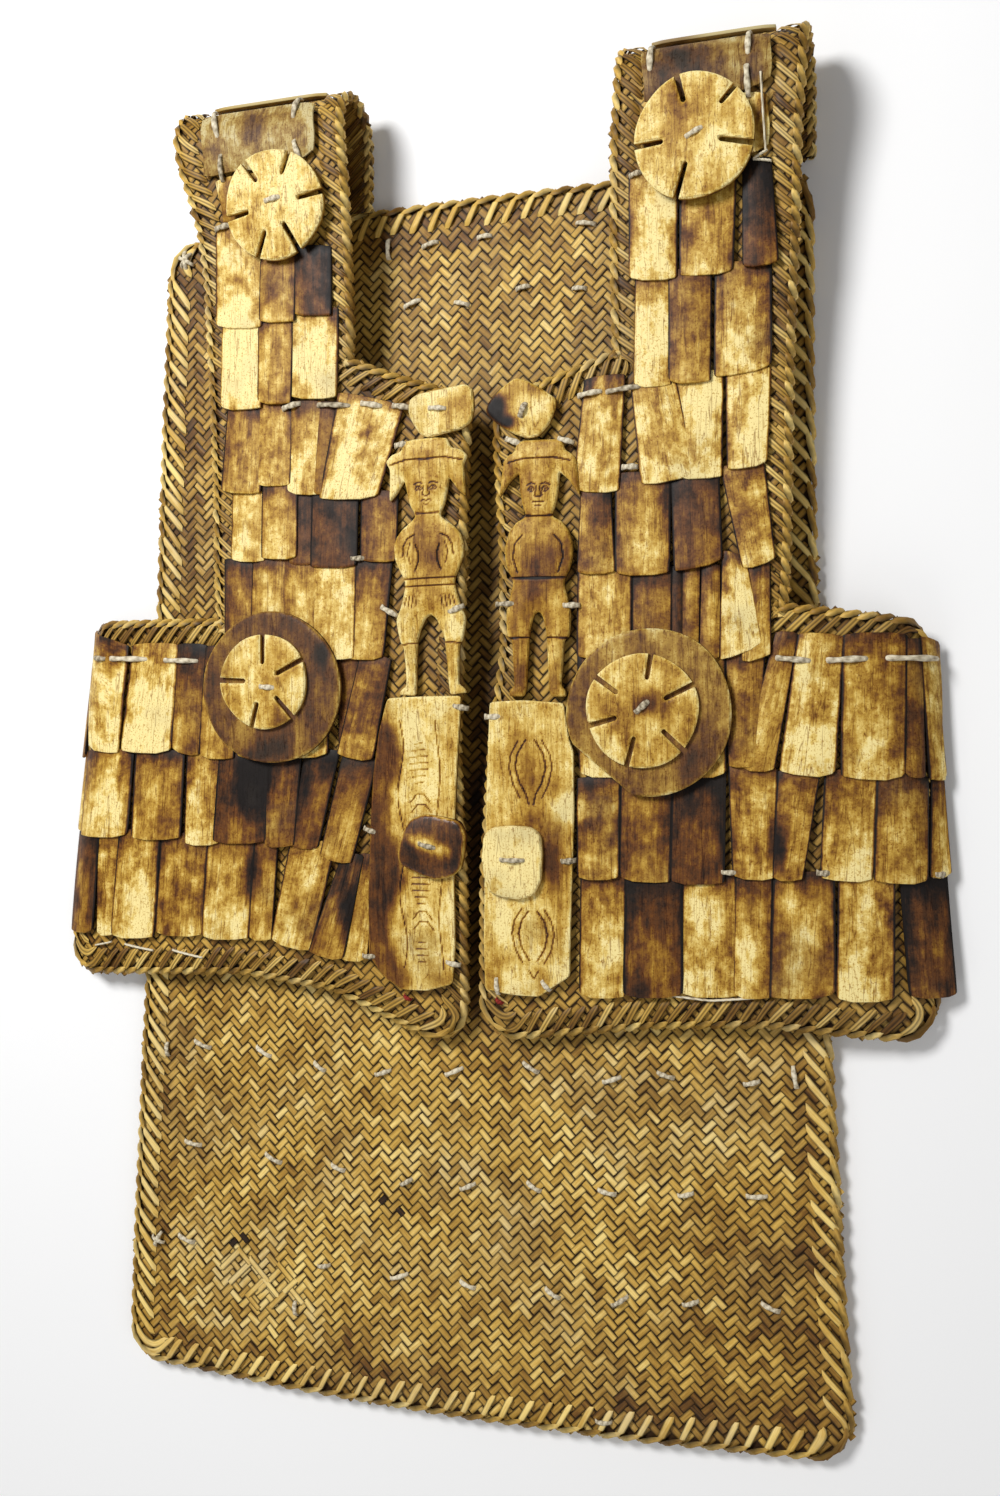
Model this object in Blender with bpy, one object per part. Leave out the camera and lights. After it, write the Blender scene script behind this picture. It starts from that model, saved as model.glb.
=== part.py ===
# Rattan and bone-plate armour vest, lying on its back on a flat surface.
# Two plaited rattan fronts are lashed to a longer plaited back at the shoulders.
# X runs across the chest, Y from the hem of the back to the shoulders, Z up. Tables are in millimetres.
import math

import bmesh
import bpy
from mathutils import Vector

mm = 0.001
gap = 0.3
wall = 2.6
plateThickness = 2.4
rimWidth = 17.0
rimHalf = 4.2
backLevel = 6.7
frontCentre = 12.0
flatHalf = 190.0
bendLength = 38.4
shoulderRadius = 22.0
shoulderCrest = 384.0
strapEnd = {-1: 494.0, 1: 492.8}
centreShift = (4.383, 2.65)

# Height of the fronts' middle surface above the floor, from the hem to the top of the shoulder.
riseTable = [
    {"v": -185, "z": 17},
    {"v": -120, "z": 21.5},
    {"v": 0, "z": 28},
    {"v": 120, "z": 32},
    {"v": 250, "z": 37},
    {"v": 330, "z": 45},
    {"v": 384, "z": 52},
]

# Edges of the plaiting, inside the rim: distance s from the front's centre line and height v at four seam lines.
# A row reaches from the flap's end, the armhole or the neck side of the strap to the centre edge or the neck side.
leftFront = [
    {"v": (-132, -126, -134, -163), "s": (284, 165, 97, 27), "bands": "flap chest front"},
    {"v": (-70, -66, -70, -85), "s": (280, 162, 97, 26), "bands": "flap chest front"},
    {"v": (0, 0, 0, 0), "s": (274, 160, 97, 29), "bands": "flap chest front"},
    {"v": (70, 69, 69, 60), "s": (269, 160, 97, 26), "bands": "chest front"},
    {"v": (120, 120, 120, 118), "s": (161, 161, 97, 24), "bands": "chest front"},
    {"v": (170, 170, 172, 162), "s": (161, 161, 97, 22), "bands": "chest front"},
    {"v": (222, 222, 232, 203), "s": (162, 162, 97, 20), "bands": "chest"},
]
rightFront = [
    {"v": (-146, -141, -146, -158), "s": (251, 170, 101, 14), "bands": "flap chest front"},
    {"v": (-70, -70, -70, -75), "s": (251, 170, 101, 16), "bands": "flap chest front"},
    {"v": (0, 0, 0, 0), "s": (251, 168, 101, 22), "bands": "flap chest front"},
    {"v": (59, 70, 66, 62), "s": (251, 167, 101, 31), "bands": "chest front"},
    {"v": (120, 120, 120, 118), "s": (170, 170, 101, 31), "bands": "chest front"},
    {"v": (170, 170, 170, 160), "s": (171, 171, 101, 29), "bands": "chest front"},
    {"v": (222, 222, 222, 198), "s": (172, 172, 101, 27), "bands": "chest"},
]
# The two long edges of each strap up to the shoulder, where it keeps its width over the fold.
leftStrap = [
    {"v": 262, "outer": 163, "inner": 95},
    {"v": 300, "outer": 163, "inner": 95},
    {"v": 330, "outer": 166, "inner": 95},
    {"v": 352, "outer": 171, "inner": 95},
    {"v": 372, "outer": 177, "inner": 96},
    {"v": 384, "outer": 179, "inner": 96},
]
rightStrap = [
    {"v": 262, "outer": 174, "inner": 101},
    {"v": 300, "outer": 176, "inner": 101},
    {"v": 330, "outer": 177, "inner": 102},
    {"v": 352, "outer": 178, "inner": 103},
    {"v": 372, "outer": 180, "inner": 105},
    {"v": 384, "outer": 181, "inner": 106},
]

# The back's plaiting, inside its rim. bow lifts the middle of a row.
backRows = [
    {"left": (-226, -390), "right": (215, -391), "bow": -8},
    {"left": (-223, -310), "right": (210, -310), "bow": -5},
    {"left": (-215, -156), "right": (202, -158), "bow": -3},
    {"left": (-206, 102), "right": (194, 100), "bow": 0},
    {"left": (-202, 220), "right": (192, 222), "bow": 3},
    {"left": (-197, 322), "right": (192, 325), "bow": 3},
]
backPlateRows = 11
backPlatesInRow = 9

# Rows of plates on the fronts: (s, v) of the row's corners, and how many plates it has.
plateRows = [
    {"side": -1, "name": "left_strap_plates_upper", "top": ((160, 326), (98, 316)), "foot": ((161, 270), (98, 270)), "count": 3},
    {"side": -1, "name": "left_strap_plates_lower", "top": ((161, 276), (98, 276)), "foot": ((160, 216), (99, 217)), "count": 3},
    {"side": -1, "name": "left_chest_plates_row_1", "top": ((160, 222), (48, 207)), "foot": ((160, 165), (60, 156)), "count": 4},
    {"side": -1, "name": "left_chest_plates_row_2", "top": ((159, 171), (57, 162)), "foot": ((159, 121), (56, 117)), "count": 5},
    {"side": -1, "name": "left_chest_plates_row_3", "top": ((159, 127), (56, 123)), "foot": ((158, 74), (56, 60)), "count": 5},
    {"side": -1, "name": "left_chest_plates_row_4", "top": ((93, 70), (57, 66)), "foot": ((92, -2), (68, -3)), "count": 2},
    {"side": -1, "name": "left_flap_plates_row_1", "top": ((266, 67), (98, 60)), "foot": ((268, 5), (98, -2)), "count": 6},
    {"side": -1, "name": "left_flap_plates_row_2", "top": ((270, 8), (68, 2)), "foot": ((274, -36), (69, -66)), "count": 8},
    {"side": -1, "name": "left_flap_plates_row_3", "top": ((275, -30), (69, -60)), "foot": ((281, -118), (70, -126)), "count": 9},
    {"side": 1, "name": "right_strap_plates_upper", "top": ((174, 330), (105, 330)), "foot": ((173, 273), (104, 272)), "count": 3},
    {"side": 1, "name": "right_strap_plates_lower", "top": ((172, 279), (103, 278)), "foot": ((171, 216), (103, 212)), "count": 3},
    {"side": 1, "name": "right_chest_plates_row_1", "top": ((170, 222), (66, 206)), "foot": ((169, 162), (65, 153)), "count": 4},
    {"side": 1, "name": "right_chest_plates_row_2", "top": ((168, 168), (65, 159)), "foot": ((168, 110), (65, 105)), "count": 4},
    {"side": 1, "name": "right_chest_plates_row_3", "top": ((167, 116), (65, 111)), "foot": ((166, 60), (65, 55)), "count": 6},
    {"side": 1, "name": "right_flap_plates_row_1", "top": ((248, 55), (62, 61)), "foot": ((248, -14), (63, -9)), "count": 7},
    {"side": 1, "name": "right_flap_plates_row_2", "top": ((248, -8), (63, -3)), "foot": ((249, -68), (64, -75)), "count": 8},
    {"side": 1, "name": "right_flap_plates_row_3", "top": ((249, -62), (64, -69)), "foot": ((249, -136), (66, -139)), "count": 7},
]

# Plates laid across each shoulder strap.
crossPlates = [
    {"side": -1, "name": "left_cross_plate_upper", "top": 386, "foot": 360, "inner": 98, "outer": 170, "level": 2.0},
    {"side": -1, "name": "left_cross_plate_lower", "top": 359, "foot": 330, "inner": 98, "outer": 164, "level": 1.6},
    {"side": 1, "name": "right_cross_plate_upper", "top": 387, "foot": 366, "inner": 108, "outer": 178, "level": 2.0},
    {"side": 1, "name": "right_cross_plate_lower", "top": 365, "foot": 334, "inner": 106, "outer": 175, "level": 1.6},
]
foldPlates = [
    {"side": -1, "name": "left_shoulder_plate", "inner": 98, "outer": 176},
    {"side": 1, "name": "right_shoulder_plate", "inner": 107, "outer": 178},
]

# Round bone discs, with slots cut through them like the spokes of a wheel.
discs = [
    {"side": -1, "name": "left_strap_disc", "s": 123, "v": 338, "radius": 35, "level": 8.2, "thick": 4.6, "slots": 6, "turn": 15},
    {"side": 1, "name": "right_strap_disc", "s": 136, "v": 346, "radius": 36, "level": 8.2, "thick": 4.6, "slots": 5, "turn": 25},
    {"side": -1, "name": "left_side_disc", "s": 135, "v": 41, "radius": 48, "level": 7.5, "thick": 4.0, "slots": 0, "turn": 0},
    {"side": 1, "name": "right_side_disc", "s": 106, "v": 24, "radius": 48.5, "level": 7.5, "thick": 4.0, "slots": 0, "turn": 0},
    {"side": -1, "name": "left_slotted_disc", "s": 138, "v": 45, "radius": 32, "level": 11.8, "thick": 3.6, "slots": 5, "turn": 90},
    {"side": 1, "name": "right_slotted_disc", "s": 103, "v": 25, "radius": 32.5, "level": 11.8, "thick": 3.6, "slots": 6, "turn": 60},
]

# Pieces cut from flat bone or horn that lie on the fronts: (x, y) of half an outline, from the foot to the top.
figureOutline = [(3, -79), (13, -79), (15, -74), (13, -58), (14, -34), (21, -31), (22, -22), (18, -16), (18, -11), (25, 8)]
figureOutline += [(23, 18), (17, 27), (14, 30), (14, 40), (27, 39), (25, 58), (20, 68), (12, 75), (0, 78)]
longOutline = [(0, -88), (13, -87), (23, -77), (28, -50), (28, 40), (24, 88), (0, 89)]
toggleOutline = [(0, -15), (13, -15), (19, -9), (19, 9), (13, 15), (0, 15)]
flatPieces = [
    {"side": -1, "name": "left_carved_figure", "outline": figureOutline, "s": 29, "v": 113, "wide": 0.93, "tall": 0.98, "turn": 1, "level": 4.6, "thick": 4.2},
    {"side": 1, "name": "right_carved_figure", "outline": figureOutline, "s": 40, "v": 110, "wide": 0.86, "tall": 0.93, "turn": -1, "level": 4.6, "thick": 4.2},
    {"side": -1, "name": "left_long_plate", "outline": longOutline, "s": 37, "v": -56, "wide": 0.95, "tall": 1.0, "turn": -3, "level": 4.6, "thick": 2.8},
    {"side": 1, "name": "right_long_plate", "outline": longOutline, "s": 34, "v": -58, "wide": 0.95, "tall": 1.0, "turn": 0, "level": 4.6, "thick": 2.8},
    {"side": -1, "name": "left_neck_toggle", "outline": toggleOutline, "s": 21, "v": 211, "wide": 1.0, "tall": 1.0, "turn": -3, "level": 4.8, "thick": 4.6},
    {"side": 1, "name": "right_neck_toggle", "outline": toggleOutline, "s": 30, "v": 208, "wide": 1.05, "tall": 1.0, "turn": 24, "level": 4.8, "thick": 4.6},
    {"side": -1, "name": "horn_toggle", "outline": toggleOutline, "s": 29, "v": -57, "wide": 1.0, "tall": 1.1, "turn": 17, "level": 7.8, "thick": 5.0},
    {"side": 1, "name": "square_toggle", "outline": toggleOutline, "s": 22, "v": -66, "wide": 0.95, "tall": 1.4, "turn": 0, "level": 7.8, "thick": 4.6},
]

finishes = {
    "rattan": {"color": (0.48, 0.29, 0.10), "roughness": 0.55},
    "rim": {"color": (0.52, 0.30, 0.11), "roughness": 0.5},
    "bone": {"color": (0.66, 0.54, 0.36), "roughness": 0.42},
    "disc": {"color": (0.76, 0.66, 0.48), "roughness": 0.4},
    "horn": {"color": (0.09, 0.05, 0.03), "roughness": 0.3},
}


def materialOf(name, finish):
    made = bpy.data.materials.new(name)
    made.use_nodes = True
    shader = made.node_tree.nodes["Principled BSDF"]
    shader.inputs["Base Color"].default_value = (*finishes[finish]["color"], 1)
    shader.inputs["Roughness"].default_value = finishes[finish]["roughness"]
    shader.inputs["Metallic"].default_value = 0.0
    return made


def smoothRise(v):
    v = min(max(v, riseTable[0]["v"]), riseTable[-1]["v"])
    points = [(row["v"], row["z"]) for row in riseTable]
    points = [(2 * points[0][0] - points[1][0], 2 * points[0][1] - points[1][1])] + points
    points.append((2 * points[-1][0] - points[-2][0], points[-1][1]))
    at = 1
    while at < len(points) - 3 and v > points[at + 1][0]:
        at += 1
    (x0, y0), (x1, y1), (x2, y2), (x3, y3) = points[at - 1 : at + 3]
    k = (v - x1) / (x2 - x1)
    start = (y2 - y0) / (x2 - x0) * (x2 - x1)
    end = (y3 - y1) / (x3 - x1) * (x2 - x1)
    return (
        (2 * k**3 - 3 * k * k + 1) * y1
        + (k**3 - 2 * k * k + k) * start
        + (3 * k * k - 2 * k**3) * y2
        + (k**3 - k * k) * end
    )


def frontMiddle(x, v):
    """A point of a front's middle surface. The shoulder folds back beyond the crest, and a flap's end bends down."""
    side = -1 if x < frontCentre else 1
    s = abs(x - frontCentre)
    z = smoothRise(v)
    bend = 253 - 0.076 * v if side < 0 else 229.5
    across, drop = s, 0.0
    if v < 200 and s > flatHalf:
        drop = 4 * ((min(s, bend) - flatHalf) / (bend - flatHalf)) ** 2
    if v < 200 and s > bend:
        radius = bendLength**2 / 2 / max(z - 10, 2)
        angle = (s - bend) / radius
        across = bend + radius * math.sin(angle)
        drop += radius * (1 - math.cos(angle))
    y = v
    if v > shoulderCrest:
        angle = min((v - shoulderCrest) / shoulderRadius, math.pi)
        y = shoulderCrest + shoulderRadius * math.sin(angle)
        z -= shoulderRadius * (1 - math.cos(angle))
        y -= max(v - shoulderCrest - math.pi * shoulderRadius, 0)
    return Vector((frontCentre + side * across, y, z - drop))


def onFront(x, v, height):
    step = 0.4
    along = frontMiddle(x, v + step) - frontMiddle(x, v - step)
    across = frontMiddle(x + step, v) - frontMiddle(x - step, v)
    return frontMiddle(x, v) + across.cross(along).normalized() * height


def onBack(x, v, height):
    return Vector((x, v, backLevel + height))


def addObject(name, bm, finish):
    bm.normal_update()
    bmesh.ops.recalc_face_normals(bm, faces=bm.faces)
    for vertex in bm.verts:
        vertex.co = (vertex.co + Vector((*centreShift, 0))) * mm
    mesh = bpy.data.meshes.new(name)
    bm.to_mesh(mesh)
    bm.free()
    mesh.materials.append(materialOf(name, finish))
    made = bpy.data.objects.new(name, mesh)
    bpy.context.collection.objects.link(made)
    return made


def outline(faces):
    """The boundary of a flat net of quads, as a list of directed edges."""
    used = set()
    for face in faces:
        for a, b in zip(face, face[1:] + face[:1]):
            used.add((a, b))
    return [(a, b) for a, b in used if (b, a) not in used]


def shell(name, points, faces, place, finish, heights):
    """A closed wall over a net of quads. heights gives each point's lower and upper height above the middle surface."""
    bm = bmesh.new()
    low = [bm.verts.new(place(x, v, h[0])) for (x, v), h in zip(points, heights)]
    high = [bm.verts.new(place(x, v, h[1])) for (x, v), h in zip(points, heights)]
    for face in faces:
        bm.faces.new([high[i] for i in face])
        bm.faces.new([low[i] for i in reversed(face)])
    for a, b in outline(faces):
        bm.faces.new((low[a], low[b], high[b], high[a]))
    for vertex in [v for v in bm.verts if not v.link_faces]:
        bm.verts.remove(vertex)
    return addObject(name, bm, finish)


def counterClockwise(points, face):
    area = 0
    for a, b in zip(face, face[1:] + face[:1]):
        area += points[a][0] * points[b][1] - points[b][0] * points[a][1]
    return face if area > 0 else face[::-1]


def gridNet(rows, keep):
    """Points and quads of rows of equal length. keep(row, column) says which cells are there."""
    width = len(rows[0])
    points = [point for row in rows for point in row]
    faces = []
    for i in range(len(rows) - 1):
        for j in range(width - 1):
            if keep(i, j):
                face = [i * width + j, i * width + j + 1, (i + 1) * width + j + 1, (i + 1) * width + j]
                faces.append(counterClockwise(points, face))
    return points, faces


def frontNet(table, strap, side):
    """The flat net of one front: flap, chest, front and strap in one piece."""
    cuts = [(0, 0.0), (0, 0.1), (0, 0.2), (0, 0.32), (0, 0.6), (1, 0.0), (1, 0.5), (2, 0.0), (2, 0.4), (2, 0.75), (3, 0.0)]
    rows = []
    bands = []
    for entry in table:
        row = []
        for seam, part in cuts:
            after = min(seam + 1, 3)
            s = entry["s"][seam] + (entry["s"][after] - entry["s"][seam]) * part
            v = entry["v"][seam] + (entry["v"][after] - entry["v"][seam]) * part
            row.append((frontCentre + side * s, v))
        rows.append(row)
        bands.append(entry["bands"])
    stations = [dict(entry) for entry in strap]
    fold = math.pi * shoulderRadius
    for i in range(1, 7):
        stations.append({**strap[-1], "v": shoulderCrest + fold * i / 6})
    stations.append({**strap[-1], "v": strapEnd[side]})
    for entry in stations:
        row = [(frontCentre + side * entry["outer"], entry["v"])] * 5
        for part in (0.0, 0.5, 1.0):
            s = entry["outer"] + (entry["inner"] - entry["outer"]) * part
            row.append((frontCentre + side * s, entry["v"]))
        row += [row[-1]] * 3
        rows.append(row)
        bands.append("chest")
    blocks = ["flap"] * 5 + ["chest"] * 2 + ["front"] * 3
    return gridNet(rows, lambda i, j: blocks[j] in bands[i].split())


def chain(faces, first):
    """The boundary as one run of points, from first round to where it began."""
    after = dict(outline(faces))
    run = [first]
    while after[run[-1]] != first:
        run.append(after[run[-1]])
    return run


def rimSections(path, closed):
    """Flat position and outward direction of each rim section. A convex corner gets three, so that it is round."""
    sections = []
    count = len(path)
    for i, here in enumerate(path):
        before = path[i - 1] if closed or i else None
        after = path[(i + 1) % count] if closed or i < count - 1 else None
        sides = []
        for a, b in ((before, here), (here, after)):
            if a is not None and b is not None:
                run = (Vector(b) - Vector(a)).normalized()
                sides.append(Vector((run.y, -run.x)))
        turn = sides[0].cross(sides[-1]) if len(sides) == 2 else 0
        middle = (sides[0] + sides[-1]).normalized()
        if turn > 0.5:
            sections += [(here, sides[0]), (here, middle), (here, sides[-1])]
        else:
            sections.append((here, middle / max(middle.dot(sides[0]), 0.5)))
    return sections


def rim(name, path, closed, place):
    profile = [(gap, -3.0), (gap, 3.0), (8.0, rimHalf), (rimWidth, 2.2), (rimWidth, -2.2), (8.0, -rimHalf)]
    bm = bmesh.new()
    rings = []
    for (x, v), way in rimSections(path, closed):
        rings.append([bm.verts.new(place(x + way.x * d, v + way.y * d, h)) for d, h in profile])
    pairs = list(zip(rings, rings[1:]))
    if closed:
        pairs.append((rings[-1], rings[0]))
    for one, two in pairs:
        for k in range(len(profile)):
            after = (k + 1) % len(profile)
            bm.faces.new((one[k], one[after], two[after], two[k]))
    if not closed:
        bm.faces.new(rings[0])
        bm.faces.new(rings[-1][::-1])
    return addObject(name, bm, "rim")


def between(a, b, part):
    return (a[0] + (b[0] - a[0]) * part, a[1] + (b[1] - a[1]) * part)


def plateRow(name, corners, count, place, outward, bent=0):
    """A row of plates as one body: its top edge lies under the row above, its plates part below it.
    The first plates, as many as bent says, follow the bend of a flap."""
    (topA, topB), (footA, footB) = corners
    slit = 0.7 / math.dist(topA, topB)
    parts = []
    slits = []
    for i in range(count):
        steps = 3 if i < bent else 1
        left = i / count + (slit if i else 0)
        right = (i + 1) / count - (slit if i < count - 1 else 0)
        slits += [len(parts) - 1] if i else []
        parts += [left + (right - left) * k / steps for k in range(steps + 1)]
    length = math.dist(topA, footA) + math.dist(topB, footB)
    rows = []
    for down in (0.0, 14.0 / length, 17.0 / length, 1.0):
        a, b = between(topA, footA, down), between(topB, footB, down)
        rows.append([between(a, b, part) for part in parts])
    points, faces = gridNet(rows, lambda i, j: i == 0 or j not in slits)
    inner, outer = wall / 2 + gap, wall / 2 + gap + plateThickness
    under, over = (inner, outer), (outer + gap, outer + gap + plateThickness)
    heights = [under] * len(parts) * 2 + [over] * len(parts) * 2
    if outward < 0:
        heights = [(-h[1], -h[0]) for h in heights]
    return shell(name, points, faces, place, "bone", heights)


def frontPoint(side, corner):
    return (frontCentre + side * corner[0], corner[1])


def tangent(side, s, v):
    """Centre, across, along and normal of the front's surface at a point."""
    x = frontCentre + side * s
    along = (frontMiddle(x, v + 1) - frontMiddle(x, v - 1)).normalized()
    normal = Vector((1, 0, 0)).cross(along).normalized()
    return frontMiddle(x, v), Vector((1, 0, 0)), along, normal


def disc(entry):
    centre, across, along, normal = tangent(entry["side"], entry["s"], entry["v"])
    bm = bmesh.new()
    inner = entry["radius"] * 0.36
    outer = entry["radius"] * 0.93
    steps = 28
    bmesh.ops.create_circle(bm, cap_ends=True, segments=steps, radius=entry["radius"])
    top = bmesh.ops.extrude_face_region(bm, geom=list(bm.faces))
    lift = [v for v in top["geom"] if isinstance(v, bmesh.types.BMVert)]
    bmesh.ops.translate(bm, verts=lift, vec=(0, 0, entry["thick"]))
    placeFlat(bm, centre + normal * entry["level"], across, along, normal)
    made = addObject(entry["name"], bm, "disc")
    for i in range(entry["slots"]):
        angle = math.radians(entry["turn"] + 360 * i / entry["slots"])
        cutter = bmesh.new()
        bmesh.ops.create_cube(cutter, size=1)
        for vertex in cutter.verts:
            reach = (inner if vertex.co.x < 0 else outer)
            wide = vertex.co.y * 2.6
            x = math.cos(angle) * reach - math.sin(angle) * wide
            y = math.sin(angle) * reach + math.cos(angle) * wide
            vertex.co = (x, y, (vertex.co.z * 3 + 0.5) * entry["thick"])
        placeFlat(cutter, centre + normal * entry["level"], across, along, normal)
        helper = addObject(entry["name"] + "_slot_" + str(i + 1), cutter, "disc")
        helper.hide_render = True
        helper.display_type = "WIRE"
        cut = made.modifiers.new("slot", "BOOLEAN")
        cut.operation = "DIFFERENCE"
        cut.object = helper
    return made


def placeFlat(bm, centre, across, along, normal):
    for vertex in bm.verts:
        x, y, z = vertex.co
        vertex.co = centre + across * x + along * y + normal * z


def flatPiece(entry):
    """A piece of even thickness cut to a mirrored outline, lying on the front."""
    half = [(x * entry["wide"], y * entry["tall"]) for x, y in entry["outline"]]
    loop = half + [(-x, y) for x, y in reversed(half) if x > 0.01]
    turn = math.radians(entry["turn"])
    centre, across, along, normal = tangent(entry["side"], entry["s"], entry["v"])
    bm = bmesh.new()
    ring = []
    for x, y in loop:
        ring.append(bm.verts.new((x * math.cos(turn) - y * math.sin(turn), x * math.sin(turn) + y * math.cos(turn), 0)))
    face = bm.faces.new(ring)
    top = bmesh.ops.extrude_face_region(bm, geom=[face])
    lift = [v for v in top["geom"] if isinstance(v, bmesh.types.BMVert)]
    bmesh.ops.translate(bm, verts=lift, vec=(0, 0, entry["thick"]))
    bmesh.ops.triangulate(bm, faces=bm.faces)
    placeFlat(bm, centre + normal * entry["level"], across, along, normal)
    return addObject(entry["name"], bm, "horn" if entry["name"] == "horn_toggle" else "disc")


for old in list(bpy.data.objects):
    bpy.data.objects.remove(old)

# The two fronts
for side, word, table, strap in ((-1, "left", leftFront, leftStrap), (1, "right", rightFront, rightStrap)):
    points, faces = frontNet(table, strap, side)
    level = [(-wall / 2, wall / 2)] * len(points)
    shell("front_" + word + "_panel", points, faces, onFront, "rattan", level)
    last = strapEnd[side]
    ends = [i for edge in outline(faces) for i in edge if points[i][1] == last]
    run = chain(faces, ends[0])
    path = [points[i] for i in run]
    start = next(i for i, point in enumerate(path) if point[1] == last and path[(i + 1) % len(path)][1] != last)
    path = path[start:] + path[:start]
    while path[-2][1] == last:
        path.pop()
    rim("front_" + word + "_rim", path, False, onFront)

# The back
rows = []
for entry in backRows:
    row = []
    for k in range(7):
        x, v = between(entry["left"], entry["right"], k / 6)
        row.append((x, v + entry["bow"] * (1 - (k / 3 - 1) ** 2)))
    rows.append(row)
points, faces = gridNet(rows, lambda i, j: True)
shell("back_panel", points, faces, onBack, "rattan", [(-wall / 2, wall / 2)] * len(points))
rim("back_rim", [points[i] for i in chain(faces, 0)], True, onBack)
footLine, headLine = backRows[0], backRows[-1]
for i in range(backPlateRows):
    corners = []
    for part in (i / backPlateRows, (i + 1) / backPlateRows + (0.009 if i < backPlateRows - 1 else -0.006)):
        v = between(headLine["left"], footLine["left"], part)[1] - (3 if i == 0 and part == 0 else 0)
        edge = [row for row in backRows if row["left"][1] <= v][-1:] or [footLine]
        nextEdge = backRows[min(backRows.index(edge[0]) + 1, len(backRows) - 1)]
        span = max(nextEdge["left"][1] - edge[0]["left"][1], 1)
        ratio = (v - edge[0]["left"][1]) / span
        left = between(edge[0]["left"], nextEdge["left"], ratio)
        right = between(edge[0]["right"], nextEdge["right"], ratio)
        corners.append(((left[0] + 1.5, left[1]), (right[0] - 1.5, right[1])))
    plateRow("back_plates_row_" + str(i + 1), corners, backPlatesInRow, onBack, -1)

# Plates of the fronts
for entry in plateRows:
    corners = [[frontPoint(entry["side"], corner) for corner in entry[edge]] for edge in ("top", "foot")]
    plateRow(entry["name"], corners, entry["count"], onFront, 1, 2 if "flap" in entry["name"] else 0)
for entry in crossPlates:
    edges = []
    for part in (0, 0.33, 0.67, 1):
        v = entry["top"] + (entry["foot"] - entry["top"]) * part
        edges.append([frontPoint(entry["side"], (s, v)) for s in (entry["outer"], entry["inner"])])
    points, faces = gridNet(edges, lambda i, j: True)
    level = (entry["level"], entry["level"] + plateThickness)
    shell(entry["name"], points, faces, onFront, "bone", [level] * len(points))
for entry in foldPlates:
    bm = bmesh.new()
    bmesh.ops.create_cube(bm, size=1)
    middle = frontCentre + entry["side"] * (entry["inner"] + entry["outer"]) / 2
    front = shoulderCrest + shoulderRadius + wall / 2 + gap
    for vertex in bm.verts:
        x, y, z = vertex.co
        vertex.co = (middle + x * (entry["outer"] - entry["inner"]), front + (y + 0.5) * plateThickness, 30 + z * 32)
    addObject(entry["name"], bm, "bone")

# Discs, figures, long plates and toggles
for entry in discs:
    disc(entry)
for entry in flatPieces:
    flatPiece(entry)
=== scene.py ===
import math

import bmesh
import bpy
import numpy as np
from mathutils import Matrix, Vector


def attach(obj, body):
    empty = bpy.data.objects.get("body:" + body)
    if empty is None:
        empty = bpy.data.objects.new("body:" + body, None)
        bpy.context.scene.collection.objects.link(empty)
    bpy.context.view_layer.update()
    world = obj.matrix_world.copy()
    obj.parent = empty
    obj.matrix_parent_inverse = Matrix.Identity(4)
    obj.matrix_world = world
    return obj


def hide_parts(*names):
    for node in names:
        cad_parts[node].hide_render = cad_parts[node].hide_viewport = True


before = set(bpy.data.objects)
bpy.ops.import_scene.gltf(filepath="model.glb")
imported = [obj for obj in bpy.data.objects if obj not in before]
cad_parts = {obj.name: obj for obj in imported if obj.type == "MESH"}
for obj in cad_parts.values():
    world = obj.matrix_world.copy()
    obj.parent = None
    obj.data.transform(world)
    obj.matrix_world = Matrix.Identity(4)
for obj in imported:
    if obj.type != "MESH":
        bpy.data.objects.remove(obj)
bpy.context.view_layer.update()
print("frame loaded")

# All tables are in millimetres, in the flat cut of each sheet: x across, v up, h above its middle surface.
millimetre = 0.001
centreShift = (4.383, 2.65)
form = {
    "backLevel": 6.7,
    "frontCentre": 12.0,
    "flatHalf": 190.0,
    "leftBend": 253,
    "leftLean": 0.076,
    "rightBend": 229.5,
    "bendLength": 38.4,
    "shoulderRadius": 22.0,
    "shoulderCrest": 384.0,
    "lowest": 3.6,
    "soften": 1.6,
    "flapTop": 200,
    "sag": 4,
    "rise": [(-185, 17), (-120, 21.5), (0, 28), (120, 32), (250, 37), (330, 45), (384, 52)],
}
dice = np.random.default_rng(41)


def deselect():
    bpy.ops.object.select_all(action="DESELECT")


def activate(made):
    deselect()
    made.select_set(True)
    bpy.context.view_layer.objects.active = made


def linked(name, data):
    made = bpy.data.objects.new(name, data)
    bpy.context.scene.collection.objects.link(made)
    return made


def newMaterial(name, specular=0.5, rough=0.5):
    made = bpy.data.materials.new(name)
    made.use_nodes = True
    shader = made.node_tree.nodes["Principled BSDF"]
    shader.inputs["Specular IOR Level"].default_value = specular
    shader.inputs["Roughness"].default_value = rough
    return made, made.node_tree, shader


# Camera, floor and light
studio = {
    "camera": (0.2996, 0.00565, 0.8607),
    "tilt": 18.0,
    "lens": 34.9,
    "sensor": 36,
    "floorSize": 8,
    "floor": (0.93, 0.93, 0.93, 1),
    "lights": [
        {"name": "key", "place": (-0.55, 0.75, 1.35), "aim": (0.0, 0.05, 0.0), "size": 0.55, "power": 24.5},
        {"name": "fill", "place": (1.15, -0.55, 1.25), "aim": (0.0, 0.0, 0.0), "size": 1.3, "power": 5.0},
        {"name": "lower", "place": (-0.6, -1.3, 1.0), "aim": (0.0, -0.1, 0.0), "size": 1.2, "power": 4.5},
    ],
}


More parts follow.
